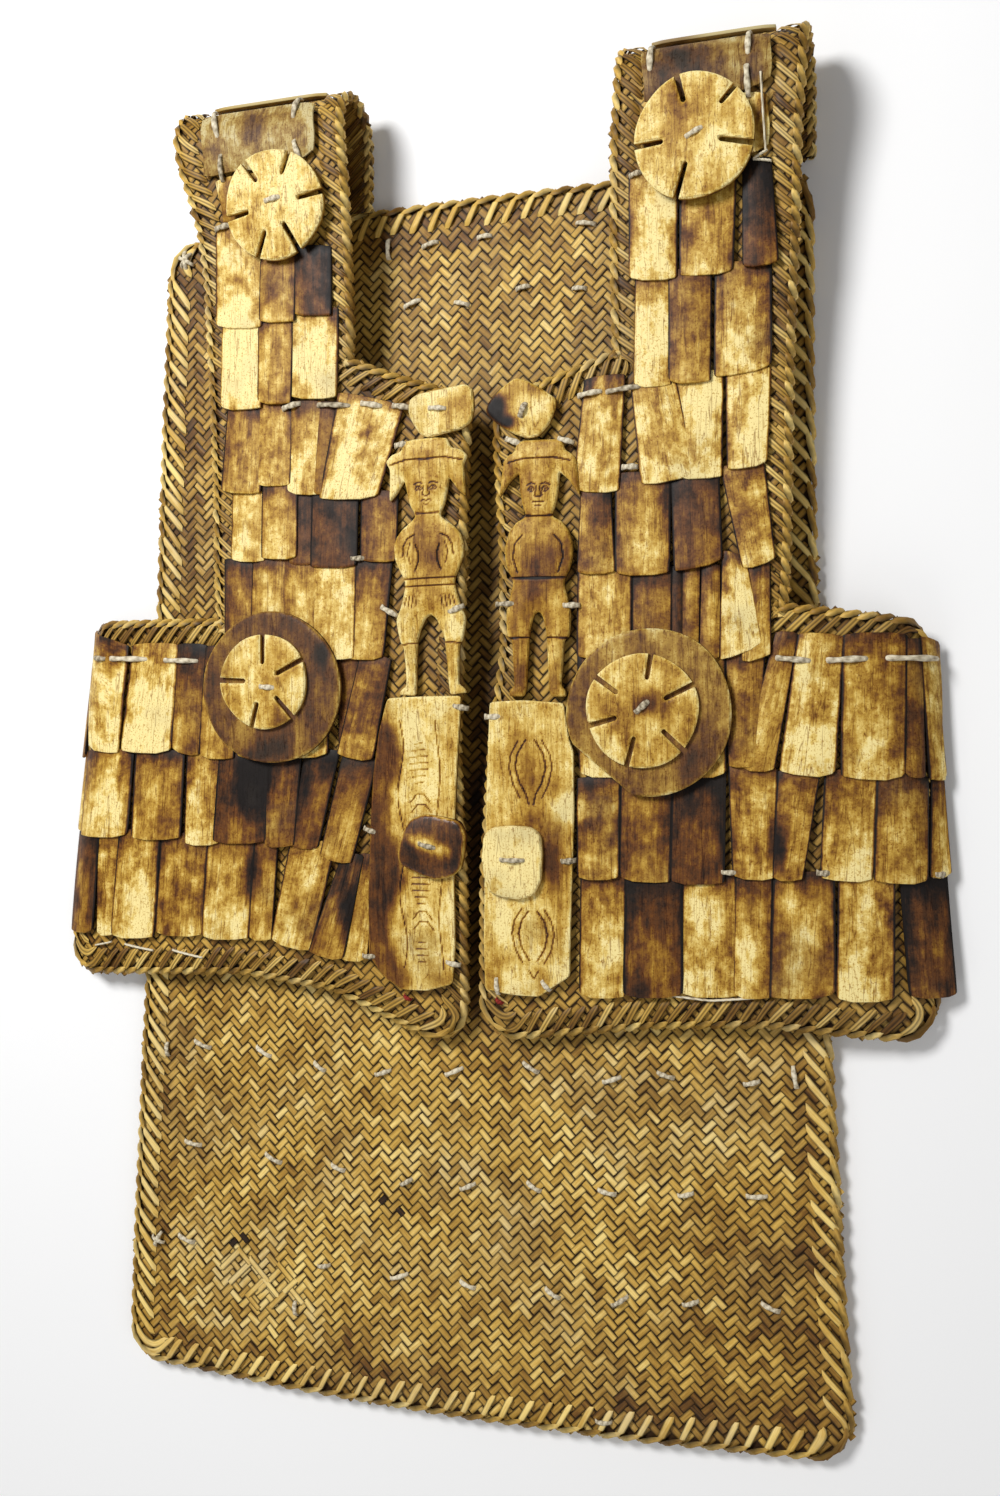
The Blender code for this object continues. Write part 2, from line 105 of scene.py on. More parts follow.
def buildStudio():
    view = bpy.data.cameras.new("photoCamera")
    view.lens = studio["lens"]
    view.sensor_width = studio["sensor"]
    view.sensor_fit = "AUTO"
    camera = linked("photoCamera", view)
    camera.location = studio["camera"]
    camera.rotation_euler = (0, math.radians(studio["tilt"]), 0)
    bpy.context.scene.camera = camera
    deselect()
    bpy.ops.mesh.primitive_plane_add(size=studio["floorSize"])
    floor = bpy.context.object
    floor.name = "floor"
    paper, tree, shader = newMaterial("floorPaper", rough=0.8)
    shader.inputs["Base Color"].default_value = studio["floor"]
    floor.data.materials.append(paper)
    for entry in studio["lights"]:
        lamp = bpy.data.lights.new(entry["name"], "AREA")
        lamp.shape = "DISK"
        lamp.size = entry["size"]
        lamp.energy = entry["power"]
        made = linked(entry["name"], lamp)
        made.location = entry["place"]
        aim = Vector(entry["aim"]) - Vector(entry["place"])
        made.rotation_euler = aim.to_track_quat("-Z", "Y").to_euler()
    sky = bpy.data.worlds.new("studioSky")
    sky.use_nodes = True
    backdrop = sky.node_tree.nodes["Background"]
    backdrop.inputs["Color"].default_value = (1, 1, 1, 1)
    backdrop.inputs["Strength"].default_value = 0.2
    bpy.context.scene.world = sky
    bpy.context.scene.view_settings.view_transform = "Standard"


buildStudio()
print("studio set")


# The lying form: how a point of the flat cut lies in space
def riseOf(v):
    table = np.array(form["rise"], float)
    across = np.concatenate([[2 * table[0, 0] - table[1, 0]], table[:, 0], [2 * table[-1, 0] - table[-2, 0]]])
    level = np.concatenate([[2 * table[0, 1] - table[1, 1]], table[:, 1], [table[-1, 1]]])
    v = np.clip(v, table[0, 0], table[-1, 0])
    at = np.clip(np.searchsorted(across, v) - 1, 1, len(across) - 3)
    before, here, after, last = (across[at + k] for k in (-1, 0, 1, 2))
    below, low, high, above = (level[at + k] for k in (-1, 0, 1, 2))
    part = (v - here) / (after - here)
    start = (high - below) / (after - before) * (after - here)
    end = (above - low) / (last - here) * (after - here)
    square, cube = part * part, part**3
    low, high = (2 * cube - 3 * square + 1) * low, (3 * square - 2 * cube) * high
    return low + (cube - 2 * square + part) * start + high + (cube - square) * end


def frontMiddle(x, v):
    half, radius, crest, lowest = (form[word] for word in ("flatHalf", "shoulderRadius", "shoulderCrest", "lowest"))
    side = np.where(x < form["frontCentre"], -1, 1)
    s = np.abs(x - form["frontCentre"])
    z = riseOf(v)
    bend = np.where(side < 0, form["leftBend"] - form["leftLean"] * v, form["rightBend"])
    inFlap = v < form["flapTop"]
    sag = form["sag"] * ((np.clip(s, half, bend) - half) / (bend - half)) ** 2
    past = np.where(inFlap, np.maximum(s - bend, 0), 0)
    curl = form["bendLength"] ** 2 / 2 / np.maximum(z - 10, 2)
    across = np.where(past > 0, bend + curl * np.sin(past / curl), s)
    drop = np.where(inFlap, sag, 0) + curl * (1 - np.cos(past / curl))
    over = np.maximum(v - crest, 0)
    turn = np.minimum(over / radius, math.pi)
    y = np.minimum(v, crest) + radius * np.sin(turn) - np.maximum(over - math.pi * radius, 0)
    z = z - drop - radius * (1 - np.cos(turn))
    z = lowest + form["soften"] * np.logaddexp(0, (z - lowest) / form["soften"])
    return np.stack([form["frontCentre"] + side * across, y, z], 1)


def onFront(points):
    x, v, h = points.T
    step = 0.4
    along = frontMiddle(x, v + step) - frontMiddle(x, v - step)
    across = frontMiddle(x + step, v) - frontMiddle(x - step, v)
    normal = np.cross(across, along)
    normal /= np.linalg.norm(normal, axis=1)[:, None]
    return frontMiddle(x, v) + normal * h[:, None]


def onBack(points):
    return points + np.array([0, 0, form["backLevel"]])


def inMetres(points):
    return (points + np.array([*centreShift, 0])) * millimetre


# Cut lines of the plaiting, as s and v: from the strap's end down the neck, the centre and the hem, then up the
# flap and the armhole. The back's is in x and v, from its lower left corner.
leftCut = [(96, 494), (96, 384), (96, 372), (95, 352), (95, 300), (95, 262), (97, 232), (60, 217), (20, 203),
    (22, 162), (24, 118), (26, 60), (29, 0), (26, -85), (27, -163)]
leftCut += [(97, -134), (165, -126), (284, -132), (280, -70), (274, 0), (269, 70), (160, 69), (161, 120), (161, 170),
    (162, 222), (163, 262), (163, 300), (166, 330), (171, 352), (177, 372), (179, 384), (179, 494)]
rightCut = [(106, 492.8), (106, 384), (105, 372), (103, 352), (102, 330), (101, 300), (101, 262), (101, 222),
    (64, 210), (27, 198), (29, 160), (31, 118), (31, 62), (22, 0), (16, -75), (14, -158)]
rightCut += [(101, -146), (170, -141), (251, -146), (251, -70), (251, 0), (251, 59), (167, 70), (170, 120),
    (171, 170), (172, 222), (174, 262), (176, 300), (177, 330), (178, 352), (180, 372), (181, 384), (181, 492.8)]
backCut = [(-226, -390), (-120, -396), (-6, -398), (110, -396), (215, -391), (210, -310), (202, -158), (194, 100),
    (192, 222), (192, 325), (90, 328), (-3, 328), (-100, 327), (-197, 322), (-202, 220), (-206, 102), (-215, -156),
    (-223, -310)]


def sideCut(cut, side):
    points = [(form["frontCentre"] + side * s, v) for s, v in cut]
    return np.array(points if side > 0 else points[::-1], float)


def reachOf(path):
    return np.concatenate([[0], np.cumsum(np.linalg.norm(np.diff(path, axis=0), axis=1))])


def pointsAt(t, reach, path):
    return np.stack([np.interp(t, reach, path[:, k]) for k in (0, 1)], -1)


def wayOf(degrees):
    return np.array([math.cos(math.radians(degrees)), math.sin(math.radians(degrees))])


def roundedPath(corners, closed, step, soften):
    corners = np.array(corners, float)
    if closed:
        corners = np.vstack([corners, corners[:1]])
    reach = reachOf(corners)
    path = pointsAt(np.linspace(0, reach[-1], int(round(reach[-1] / step)) + 1), reach, corners)
    if closed:
        path = path[:-1]
    for turn in range(soften):
        if closed:
            path = (np.roll(path, 1, 0) + 2 * path + np.roll(path, -1, 0)) / 4
        else:
            path[1:-1] = (path[:-2] + 2 * path[1:-1] + path[2:]) / 4
    return path


def outwardOf(path, closed):
    if closed:
        run = np.roll(path, -1, 0) - np.roll(path, 1, 0)
    else:
        run = np.gradient(path, axis=0)
    run /= np.linalg.norm(run, axis=1)[:, None]
    return np.stack([run[:, 1], -run[:, 0]], 1)


def inside(points, loop):
    found = np.zeros(len(points), bool)
    x, y = points.T
    for (ax, ay), (bx, by) in zip(loop, np.roll(loop, -1, 0)):
        crosses = (ay > y) != (by > y)
        if crosses.any():
            found ^= crosses & (x < (bx - ax) * (y - ay) / (by - ay + 1e-12) + ax)
    return found


# Node helpers
def addNode(tree, kind, settings=None, **inputs):
    node = tree.nodes.new(kind)
    for name, value in (settings or {}).items():
        setattr(node, name, value)
    for name, value in inputs.items():
        byNumber = name[0] == "i" and name[1:].isdigit()
        socket = node.inputs[int(name[1:]) if byNumber else name.replace("_", " ")]
        if isinstance(value, bpy.types.NodeSocket):
            tree.links.new(value, socket)
        else:
            socket.default_value = value
    return node


def ramp(tree, factor, stops):
    node = addNode(tree, "ShaderNodeValToRGB", i0=factor)
    band = node.color_ramp
    while len(band.elements) < len(stops):
        band.elements.new(0.5)
    for element, (place, shade) in zip(band.elements, stops):
        element.position = place
    for element, (place, shade) in zip(band.elements, stops):
        element.color = (*shade, 1) if isinstance(shade, tuple) else (shade, shade, shade, 1)
    return node.outputs["Color"]


def mixed(tree, blend, factor, one, two):
    node = addNode(tree, "ShaderNodeMix", {"data_type": "RGBA", "blend_type": blend}, i0=factor, i6=one, i7=two)
    return node.outputs[2]


def worked(tree, operation, one, two=0.0, three=0.0):
    return addNode(tree, "ShaderNodeMath", {"operation": operation}, i0=one, i1=two, i2=three).outputs[0]


def stretched(tree, vector, by):
    return addNode(tree, "ShaderNodeVectorMath", {"operation": "MULTIPLY"}, i0=vector, i1=by).outputs[0]


def noise(tree, vector, seed=None, **inputs):
    if seed is None:
        return addNode(tree, "ShaderNodeTexNoise", Vector=vector, **inputs).outputs[0]
    return addNode(tree, "ShaderNodeTexNoise", {"noise_dimensions": "4D"}, Vector=vector, W=seed, **inputs).outputs[0]


def bumped(tree, shader, height, strength, depth):
    bump = addNode(tree, "ShaderNodeBump", Height=height, Strength=strength, Distance=depth)
    tree.links.new(bump.outputs[0], shader.inputs["Normal"])


def objectPlace(tree):
    return addNode(tree, "ShaderNodeTexCoord").outputs["Object"]


def fibrePlace(tree):
    return addNode(tree, "ShaderNodeUVMap", {"uv_map": "fibre"}).outputs[0]


def newGroup(name, vectorName, values, outputs):
    tree = bpy.data.node_groups.new(name, "ShaderNodeTree")
    tree.interface.new_socket(name=vectorName, in_out="INPUT", socket_type="NodeSocketVector")
    for label, value in values.items():
        tree.interface.new_socket(name=label, in_out="INPUT", socket_type="NodeSocketFloat").default_value = value
    for label in outputs:
        kind = "NodeSocketColor" if label == "Colour" else "NodeSocketFloat"
        tree.interface.new_socket(name=label, in_out="OUTPUT", socket_type=kind)
    return tree, tree.nodes.new("NodeGroupInput").outputs, tree.nodes.new("NodeGroupOutput").inputs


def grainGroup():
    values = {"Seed": 0.0, "Across": 1200.0, "Along": 60.0}
    tree, source, end = newGroup("fibreGrain", "Vector", values, ("Streaks", "Blotches", "Height"))
    stretch = addNode(tree, "ShaderNodeCombineXYZ", i0=source["Across"], i1=source["Along"], i2=1.0).outputs[0]
    seed = worked(tree, "MULTIPLY", source["Seed"], 37.0)
    drawn = stretched(tree, source["Vector"], stretch)
    fine = noise(tree, drawn, seed, Scale=1.0, Detail=3.0, Roughness=0.6)
    broad = noise(tree, source["Vector"], seed, Scale=55.0, Detail=3.0, Roughness=0.65)
    tree.links.new(fine, end["Streaks"])
    tree.links.new(broad, end["Blotches"])
    tree.links.new(worked(tree, "MULTIPLY_ADD", fine, 0.7, worked(tree, "MULTIPLY", broad, 0.3)), end["Height"])
    return tree


grain = grainGroup()


def attributeOf(tree, name):
    return addNode(tree, "ShaderNodeAttribute", {"attribute_name": name}).outputs["Fac"]


def placeGroup(tree, group, **inputs):
    node = tree.nodes.new("ShaderNodeGroup")
    node.node_tree = group
    for name, value in inputs.items():
        if isinstance(value, bpy.types.NodeSocket):
            tree.links.new(value, node.inputs[name])
        else:
            node.inputs[name].default_value = value
    return node.outputs


strawShades = [(0.0, (0.92, 0.68, 0.23)), (0.25, (0.66, 0.41, 0.085)), (0.5, (0.40, 0.22, 0.036)),
    (0.75, (0.17, 0.075, 0.013)), (1.0, (0.03, 0.015, 0.006))]


def strawMaterial(name, gloss, stripShadeWidth, soiling):
    made, tree, shader = newMaterial(name, specular=0.2)
    place = objectPlace(tree)
    tone, seed, edge = (attributeOf(tree, word) for word in ("tone", "seed", "edge"))
    grainOut = placeGroup(tree, grain, Vector=fibrePlace(tree), Seed=seed, Across=900.0, Along=70.0)
    soil = noise(tree, place, Scale=30.0, Detail=5.0, Roughness=0.65)
    darkened = worked(tree, "MULTIPLY_ADD", soil, soiling, -0.3 - soiling / 2)
    shift = worked(tree, "MULTIPLY_ADD", grainOut["Streaks"], 0.6, darkened)
    straw = ramp(tree, worked(tree, "ADD", tone, shift), strawShades)
    sun = noise(tree, place, Scale=13.0, Detail=6.0, Roughness=0.7)
    faded = ramp(tree, sun, [(0.46, 0.0), (0.62, 0.85)])
    straw = mixed(tree, "MULTIPLY", faded, straw, (0.78, 0.8, 1.1, 1))
    # Each strip darkens towards its sides: painted shade in the gaps between strips and down the sides of the rim
    # canes
    stripSideShade = ramp(tree, edge, [(0.0, 0.04), (stripShadeWidth, 1.0)])
    tree.links.new(mixed(tree, "MULTIPLY", 1.0, straw, stripSideShade), shader.inputs["Base Color"])
    tree.links.new(worked(tree, "MULTIPLY_ADD", grainOut["Blotches"], 0.3, gloss), shader.inputs["Roughness"])
    bumped(tree, shader, grainOut["Height"], 0.5, 0.0002)
    return made


# A near-black sheet under the floats: painted shade where the plait shows through its gaps
def groundMaterial():
    made, tree, shader = newMaterial("plaitShadow", specular=0.1, rough=0.8)
    shadeNoise = noise(tree, objectPlace(tree), Scale=240.0, Detail=4.0)
    shades = ramp(tree, shadeNoise, [(0.3, (0.012, 0.006, 0.003)), (0.7, (0.06, 0.03, 0.012))])
    tree.links.new(shades, shader.inputs["Base Color"])
    bumped(tree, shader, shadeNoise, 0.6, 0.0005)
    return made


plaitFinish = strawMaterial("plaitStraw", gloss=0.38, stripShadeWidth=0.55, soiling=0.75)
rimFinish = strawMaterial("rimCane", gloss=0.34, stripShadeWidth=0.95, soiling=0.6)
groundFinish = groundMaterial()
print("rattan finishes ready")


# Masters: one small shape each, in a unit square with its height in millimetres
def unitGrid(columns, steps):
    deselect()
    place = (0.5, 0.5, 0)
    bpy.ops.mesh.primitive_grid_add(x_subdivisions=columns, y_subdivisions=steps, size=1, location=place)
    bpy.ops.object.transform_apply(location=True)
    return bpy.context.object


def applyModifier(made, kind, **settings):
    modifier = made.modifiers.new("shape", kind)
    for name, value in settings.items():
        setattr(modifier, name, value)
    bpy.ops.object.modifier_apply(modifier=modifier.name)


def takeMaster(made, wide=1, long=1):
    points = np.array([tuple(vertex.co) for vertex in made.data.vertices])
    faces = [list(face.vertices) for face in made.data.polygons]
    bpy.data.objects.remove(made)
    return {"points": points / [wide, long, 1], "faces": faces}


def stripMaster(columns, steps, camber, dip, overrun, pinch=0.0, rows=None):
    made = unitGrid(columns, steps)
    for vertex in made.data.vertices:
        x, y = vertex.co.x, vertex.co.y
        atEnd = y < 0.01 or y > 0.99
        if rows and not atEnd:
            y = vertex.co.y = rows[0] if y < 0.5 else rows[1]
        crown = camber * (1 - (2 * x - 1) ** 2) * (1 if rows else 1 - 0.55 * abs(2 * y - 1) ** 3)
        vertex.co.z = crown - (dip if atEnd else 0)
        if atEnd:
            vertex.co.y = -overrun if y < 0.5 else 1 + overrun
            vertex.co.x = 0.5 + (x - 0.5) * (1 - pinch)
        elif pinch > 0.5:
            vertex.co.x = 0.5 + (x - 0.5) * (1 - pinch * abs(2 * y - 1) ** 2)
    master = takeMaster(made)
    x = master["points"][:, 0]
    return {**master, "edge": np.clip(np.minimum(np.minimum(x, 1 - x), 0.25) * 4, 0, 1)}


def writeFields(mesh, fields):
    for word, values in fields.items():
        mesh.attributes.new(word, "FLOAT", "POINT").data.foreach_set("value", np.asarray(values, np.float32))


def spread(name, master, quads, place, lift, tone, finish, tall=1.0, down=False):
    quads = np.asarray(quads, float)
    count = len(quads)
    lift, tall = (np.broadcast_to(np.asarray(value, float), (count,)) for value in (lift, tall))
    seed = dice.random(count) * 20
    x, y, z = master["points"].T
    weights = np.stack([(1 - x) * (1 - y), x * (1 - y), x * y, (1 - x) * y], 1)
    flat = np.einsum("mk,nkc->nmc", weights, quads)
    height = (lift[:, None] + z[None, :] * tall[:, None]) * (-1 if down else 1)
    points = place(np.concatenate([flat, height[..., None]], 2).reshape(-1, 3))
    each = len(master["points"])
    wide, long = (np.linalg.norm(quads[:, k] - quads[:, 0], axis=1) for k in (1, 3))
    faces = []
    for k in range(count):
        for face in master["faces"]:
            run = [k * each + i for i in face]
            faces.append(run[::-1] if down else run)
    mesh = bpy.data.meshes.new(name)
    mesh.from_pydata(inMetres(points).tolist(), [], faces)
    fields = {"tone": np.repeat(np.asarray(tone, float), each), "seed": np.repeat(seed, each)}
    fields.update({word: np.tile(master[word], count) for word in ("edge", "dirt_shade") if word in master})
    writeFields(mesh, fields)
    across = x[None, :] * wide[:, None] + seed[:, None] * 3
    fibre = np.stack([across, y[None, :] * long[:, None]], 2).reshape(-1, 2) * millimetre
    loops = np.empty(len(mesh.loops), int)
    mesh.loops.foreach_get("vertex_index", loops)
    mesh.uv_layers.new(name="fibre").data.foreach_set("uv", fibre[loops].ravel().astype(np.float32))
    mesh.shade_smooth()
    mesh.materials.append(finish)
    return linked(name, mesh)


def smoothByAngle(made, degrees=40):
    made.data.shade_flat()
    activate(made)
    bpy.ops.object.shade_smooth_by_angle(angle=math.radians(degrees))


def joined(name, pieces):
    deselect()
    for piece in pieces:
        piece.select_set(True)
    bpy.context.view_layer.objects.active = pieces[0]
    if len(pieces) > 1:
        bpy.ops.object.join()
    pieces[0].name = name
    pieces[0].data.name = name
    return pieces[0]


floatMaster = stripMaster(2, 3, 0.16, 0.9, 0.04, rows=(0.04, 0.96))
underMaster = stripMaster(1, 2, 0.0, 0.0, 0.0)
underMaster["edge"][:] = 1
ribMaster = stripMaster(4, 6, 0.55, 1.1, 0.0, 0.5)
leafMaster = stripMaster(2, 6, 1.5, 1.2, 0.03, 0.9)
# On the fronts each wound rib is two split canes side by side
twinMaster = {**ribMaster, "points": ribMaster["points"].copy(), "edge": ribMaster["edge"].copy()}
between = np.abs(ribMaster["points"][:, 0] - 0.5) < 0.01
# The sunk seam between the two canes is darkened: painted shade in the seam
twinMaster["edge"][between] = 0.25
twinMaster["points"][between, 2] -= 0.45

# The plaiting: over two, under two on the bias, in strips of split cane
plaits = {
    "pitch": 4.7,
    "stripLong": 0.985,
    "stripWide": 0.468,
    "jitter": 0.85,
    "groundHalf": 0.55,
    "groundCell": 12.0,
    "reach": 14.0,
    "secondSet": 5000,
    "numbers": 12000,
}


def floatsIn(loop, topSide):
    pitch = plaits["pitch"]
    low, high = loop.min(0), loop.max(0)
    span = int(np.linalg.norm(high - low) / pitch)
    middle = (low + high) / 2
    slope = math.sqrt(0.5)
    steps = np.arange(-span, span + 1)
    i, j = np.meshgrid(
        int((middle[0] + middle[1]) * slope / pitch) + steps,
        int((middle[1] - middle[0]) * slope / pitch) + steps,
        indexing="ij",
    )
    i, j = i.ravel(), j.ravel()
    found = []
    # One way of the plait, then the other: its phase on top or beneath, its run, its crossing and its own middle
    for phase, along, across, push in (
        (0 if topSide else 2, (slope, slope), (slope, -slope), (1, 0.5)),
        (3 if topSide else 1, (-slope, slope), (slope, slope), (0.5, 1)),
    ):
        start = (i - j) % 4 == phase
        strip = j[start] if push[0] == 1 else i[start] + plaits["secondSet"]
        a, b = (i[start].astype(float) + push[0]) * pitch, (j[start].astype(float) + push[1]) * pitch
        flat = np.stack([(a - b) * slope, (a + b) * slope], 1)
        keep = inside(flat, loop)
        flat, strip = flat[keep], strip[keep]
        half = np.array(along) * pitch * plaits["stripLong"]
        wide = np.array(across) * pitch * plaits["stripWide"]
        quads = np.stack([flat - half - wide, flat - half + wide, flat + half + wide, flat + half - wide], 1)
        found.append((quads, strip, flat))
    return [np.concatenate(parts) for parts in zip(*found)]


def grownLoop(path, closed, reach):
    out = path + outwardOf(path, closed) * reach
    nearest = np.array([np.linalg.norm(path - point, axis=1).min() for point in out])
    return out[nearest > reach - 0.4]


def plaitGround(name, loop, place):
    bm = bmesh.new()
    bm.faces.new([bm.verts.new((x, v, 0)) for x, v in loop])
    bmesh.ops.triangulate(bm, faces=bm.faces)
    low, high = loop.min(0), loop.max(0)
    cell = plaits["groundCell"]
    for axis, normal in ((0, (1, 0, 0)), (1, (0, 1, 0))):
        for at in np.arange(low[axis] + cell / 2, high[axis], cell):
            parts = bm.verts[:] + bm.edges[:] + bm.faces[:]
            bmesh.ops.bisect_plane(bm, geom=parts, plane_co=[at * part for part in normal], plane_no=normal)
    bmesh.ops.remove_doubles(bm, verts=bm.verts, dist=0.05)
    bm.normal_update()
    if sum(face.normal.z * face.calc_area() for face in bm.faces) < 0:
        bmesh.ops.reverse_faces(bm, faces=bm.faces)
    flat = np.array([tuple(vertex.co) for vertex in bm.verts])[:, :2]
    count = len(flat)
    area = sum(face.calc_area() for face in bm.faces) * millimetre**2
    half = plaits["groundHalf"]
    rings = [inMetres(place(np.column_stack([flat, np.full(count, height)]))) for height in (half, -half)]
    bm.verts.index_update()
    upper = [[vertex.index for vertex in face.verts] for face in bm.faces]
    walls = []
    for edge in bm.edges:
        if edge.is_boundary:
            turn = edge.link_loops[0]
            a, b = turn.vert.index, turn.link_loop_next.vert.index
            walls.append([a, a + count, b + count, b])
    faces = upper + [[i + count for i in reversed(face)] for face in upper] + walls
    bm.free()
    mesh = bpy.data.meshes.new(name)
    mesh.from_pydata(np.vstack(rings).tolist(), [], faces)
    mesh.materials.append(groundFinish)
    return linked(name, mesh), area


def spot(flat, place, size):
    return np.exp(-(((flat - np.array(place, float)) / np.array(size, float)) ** 2).sum(1))


def stripTones(strips, base, spreadTone):
    byStrip = np.random.default_rng(7).random(plaits["numbers"])
    shift = spreadTone * (byStrip[strips % plaits["numbers"]] - 0.5)
    return base + shift + (dice.random(len(strips)) - 0.5) * 0.3


def plaitSheet(name, loop, place, toneOf):
    ground, area = plaitGround(name + "_ground", loop, place)
    quads, strips, flat = floatsIn(loop, True)
    quads = quads + (dice.random(quads.shape) - 0.5) * plaits["jitter"]
    lift = 0.8 + 0.25 * dice.random(len(quads))
    over = spread(name + "_over", floatMaster, quads, place, lift, tone=toneOf(strips, flat), finish=plaitFinish)
    quads, strips, flat = floatsIn(loop, False)
    tone = toneOf(strips, flat) + 0.1
    under = spread(name + "_under", underMaster, quads, place, 0.75, tone=tone, down=True, finish=plaitFinish)
    made = joined(name, [over, under])
    made.data.shade_flat()
    return ground, area, made


# Where the back is soiled or bleached, and where painted shadow darkens it: place, size and how much darker
backStainsAndShade = [
    # The first two darken the strip seen through the gap between the fronts, and the long one at x -190 the strip
    # beside the left armhole: painted shadow of the fronts
    ((16, -85), (22, 95), 0.5), ((14, 40), (24, 170), 0.25), ((-84, -378), (14, 18), 0.35), ((-140, -345), (45, 30),
        -0.14),
    ((175, -330), (50, 80), 0.22), ((140, -390), (90, 22), 0.12), ((150, 300), (70, 30), 0.1), ((-190, 0), (20, 300),
        0.12), ((60, -250), (60, 30), -0.05),
]


def backTone(strips, flat):
    upper = np.clip((flat[:, 1] - 60) / 220, 0, 1)
    lower = np.clip((-150 - flat[:, 1]) / 60, 0, 1)
    toEdge = np.sqrt(((flat[:, None] - backPath[None]) ** 2).sum(2)).min(1)
    tones = stripTones(strips, 0.31, 0.2)
    # Darker within about 16 mm of the rim: partly soil, partly painted shade under the rim
    tones = tones + 0.06 * upper - 0.03 * lower + 0.2 * np.clip(1.6 - toEdge / 10, 0, 1)
    for middle, size, darker in backStainsAndShade:
        tones = tones + darker * spot(flat, middle, size)
    return tones


def frontTone(strips, flat):
    return stripTones(strips, 0.5, 0.25)


backPath = roundedPath(backCut, True, 3.0, 3)
leftPath = roundedPath(sideCut(leftCut, -1), False, 3.0, 4)
rightPath = roundedPath(sideCut(rightCut, 1), False, 3.0, 4)
sheets = {}
for name, path, closed, place, toneOf in (
    ("back", backPath, True, onBack, backTone),
    ("left", leftPath, False, onFront, frontTone),
    ("right", rightPath, False, onFront, frontTone),
):
    loop = grownLoop(path, closed, plaits["reach"])
    sheets[name] = (*plaitSheet(name + "_plait", loop, place, toneOf), loop)
    print(name, "plait laid", len(sheets[name][2].data.polygons))


# Rims: slanting whipping over the plait's edge, and a braid along the outside
rims = {
    "profile": [(-1.5, 1.9), (2, 2.3), (7, 2.6), (12, 2.4), (14.6, 1.6), (15.6, 0)],
    "ribWidth": 4.4,
    "leafWidth": 4.8,
    "slant": 12.5,
    "step": 0.6,
}


def rimPlace(path, closed, place):
    outward = outwardOf(path, closed)
    if closed:
        path, outward = (np.vstack([line, line[:1]]) for line in (path, outward))
    reach = reachOf(path)
    top = rims["profile"]
    profile = np.array(top + [(d, -h) for d, h in reversed(top[:-1])], float)
    girth = reachOf(profile)

    def lay(points):
        t, w, lift = points.T
        t = np.mod(t, reach[-1]) if closed else np.clip(t, 0, reach[-1])
        d, h = pointsAt(w, girth, profile).T
        run = pointsAt(w + rims["step"], girth, profile) - pointsAt(w - rims["step"], girth, profile)
        run /= np.linalg.norm(run, axis=1)[:, None] + 1e-9
        flat = pointsAt(t, reach, path) + pointsAt(t, reach, outward) * (d - run[:, 1] * lift)[:, None]
        return place(np.column_stack([flat, h + run[:, 0] * lift]))

    return lay, reach[-1], girth[len(top) - 1]


def rimPieces(name, path, closed, place, pitchOf, rib, tones, slantOf):
    lay, whole, edge = rimPlace(path, closed, place)
    outward = outwardOf(path, closed)
    reach = reachOf(path)
    ribs, leaves = [], []
    t = 0.0
    while t < whole - 4:
        way = pointsAt(t, reach, outward)
        pitch = pitchOf(way) * (0.92 + 0.16 * dice.random())
        half = rims["ribWidth"] / 2 * (0.85 + 0.3 * dice.random()) * max(1, slantOf(way) / rims["slant"])
        slant = slantOf(way) * (0.9 + 0.2 * dice.random())
        inner, outer = 0.4 + dice.random() * 1.6, edge - 2.0
        foot = [(t + half, outer), (t - half, outer)]
        ribs.append(foot + [(t + slant - half * 1.2, inner), (t + slant + half * 1.2, inner)])
        a, b = np.array([t - 0.2 * pitch, edge + 1.4]), np.array([t + 1.2 * pitch, edge - 4.4])
        run = (b - a) / np.linalg.norm(b - a)
        side = np.array([run[1], -run[0]]) * rims["leafWidth"] / 2
        leaves.append([a + side, a - side, b - side, b + side])
        t += pitch
    ribs, leaves = np.array(ribs), np.array(leaves)
    ribTone = tones[0] + tones[1] * dice.random(len(ribs)) ** 1.2
    leafTone = 0.06 + 0.55 * dice.random(len(leaves)) ** 1.3
    underRibs, underLeaves = ((quads * [1, -1] + [0, 2 * edge])[:, [1, 0, 3, 2]] for quads in (ribs, leaves))
    return joined(name, [spread(name, master, quads, lay, lift, tone=tone, finish=rimFinish) for master, quads, lift,
            tone in (
        (rib, ribs, 0.5, ribTone),
        (leafMaster, leaves, 1.0, leafTone),
        (rib, underRibs, 0.2, ribTone + 0.15),
        (leafMaster, underLeaves, 0.4, leafTone + 0.1),
    )])


def backPitch(way):
    return 12.4 + 1.6 * way[0]


def backSlant(way):
    return 8.0 + 9.0 * abs(way[0])


def frontSlant(way):
    return rims["slant"]


def frontPitch(way):
    return 8.2 if abs(way[0]) > abs(way[1]) else 8.8


rimSet = {
    "back": rimPieces("back_rim_cane", backPath, True, onBack, backPitch, ribMaster, (0.0, 0.26), backSlant),
    "left": rimPieces("left_rim_cane", leftPath, False, onFront, frontPitch, twinMaster, (0.14, 0.62), frontSlant),
    "right": rimPieces("right_rim_cane", rightPath, False, onFront, frontPitch, twinMaster, (0.14, 0.62), frontSlant),
}
print("rims braided", [len(piece.data.polygons) for piece in rimSet.values()])

for name, panel, rimNode, held in (
    ("back", "back_panel", "back_rim", "laid"),
    ("left", "front_left_panel", "front_left_rim", "folded"),
    ("right", "front_right_panel", "front_right_rim", "folded"),
):
    ground, area, plait, loop = sheets[name]
    for piece in (ground, plait, rimSet[name]):
        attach(piece, "root")
    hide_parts(panel)
    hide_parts(panel)
    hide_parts(rimNode)

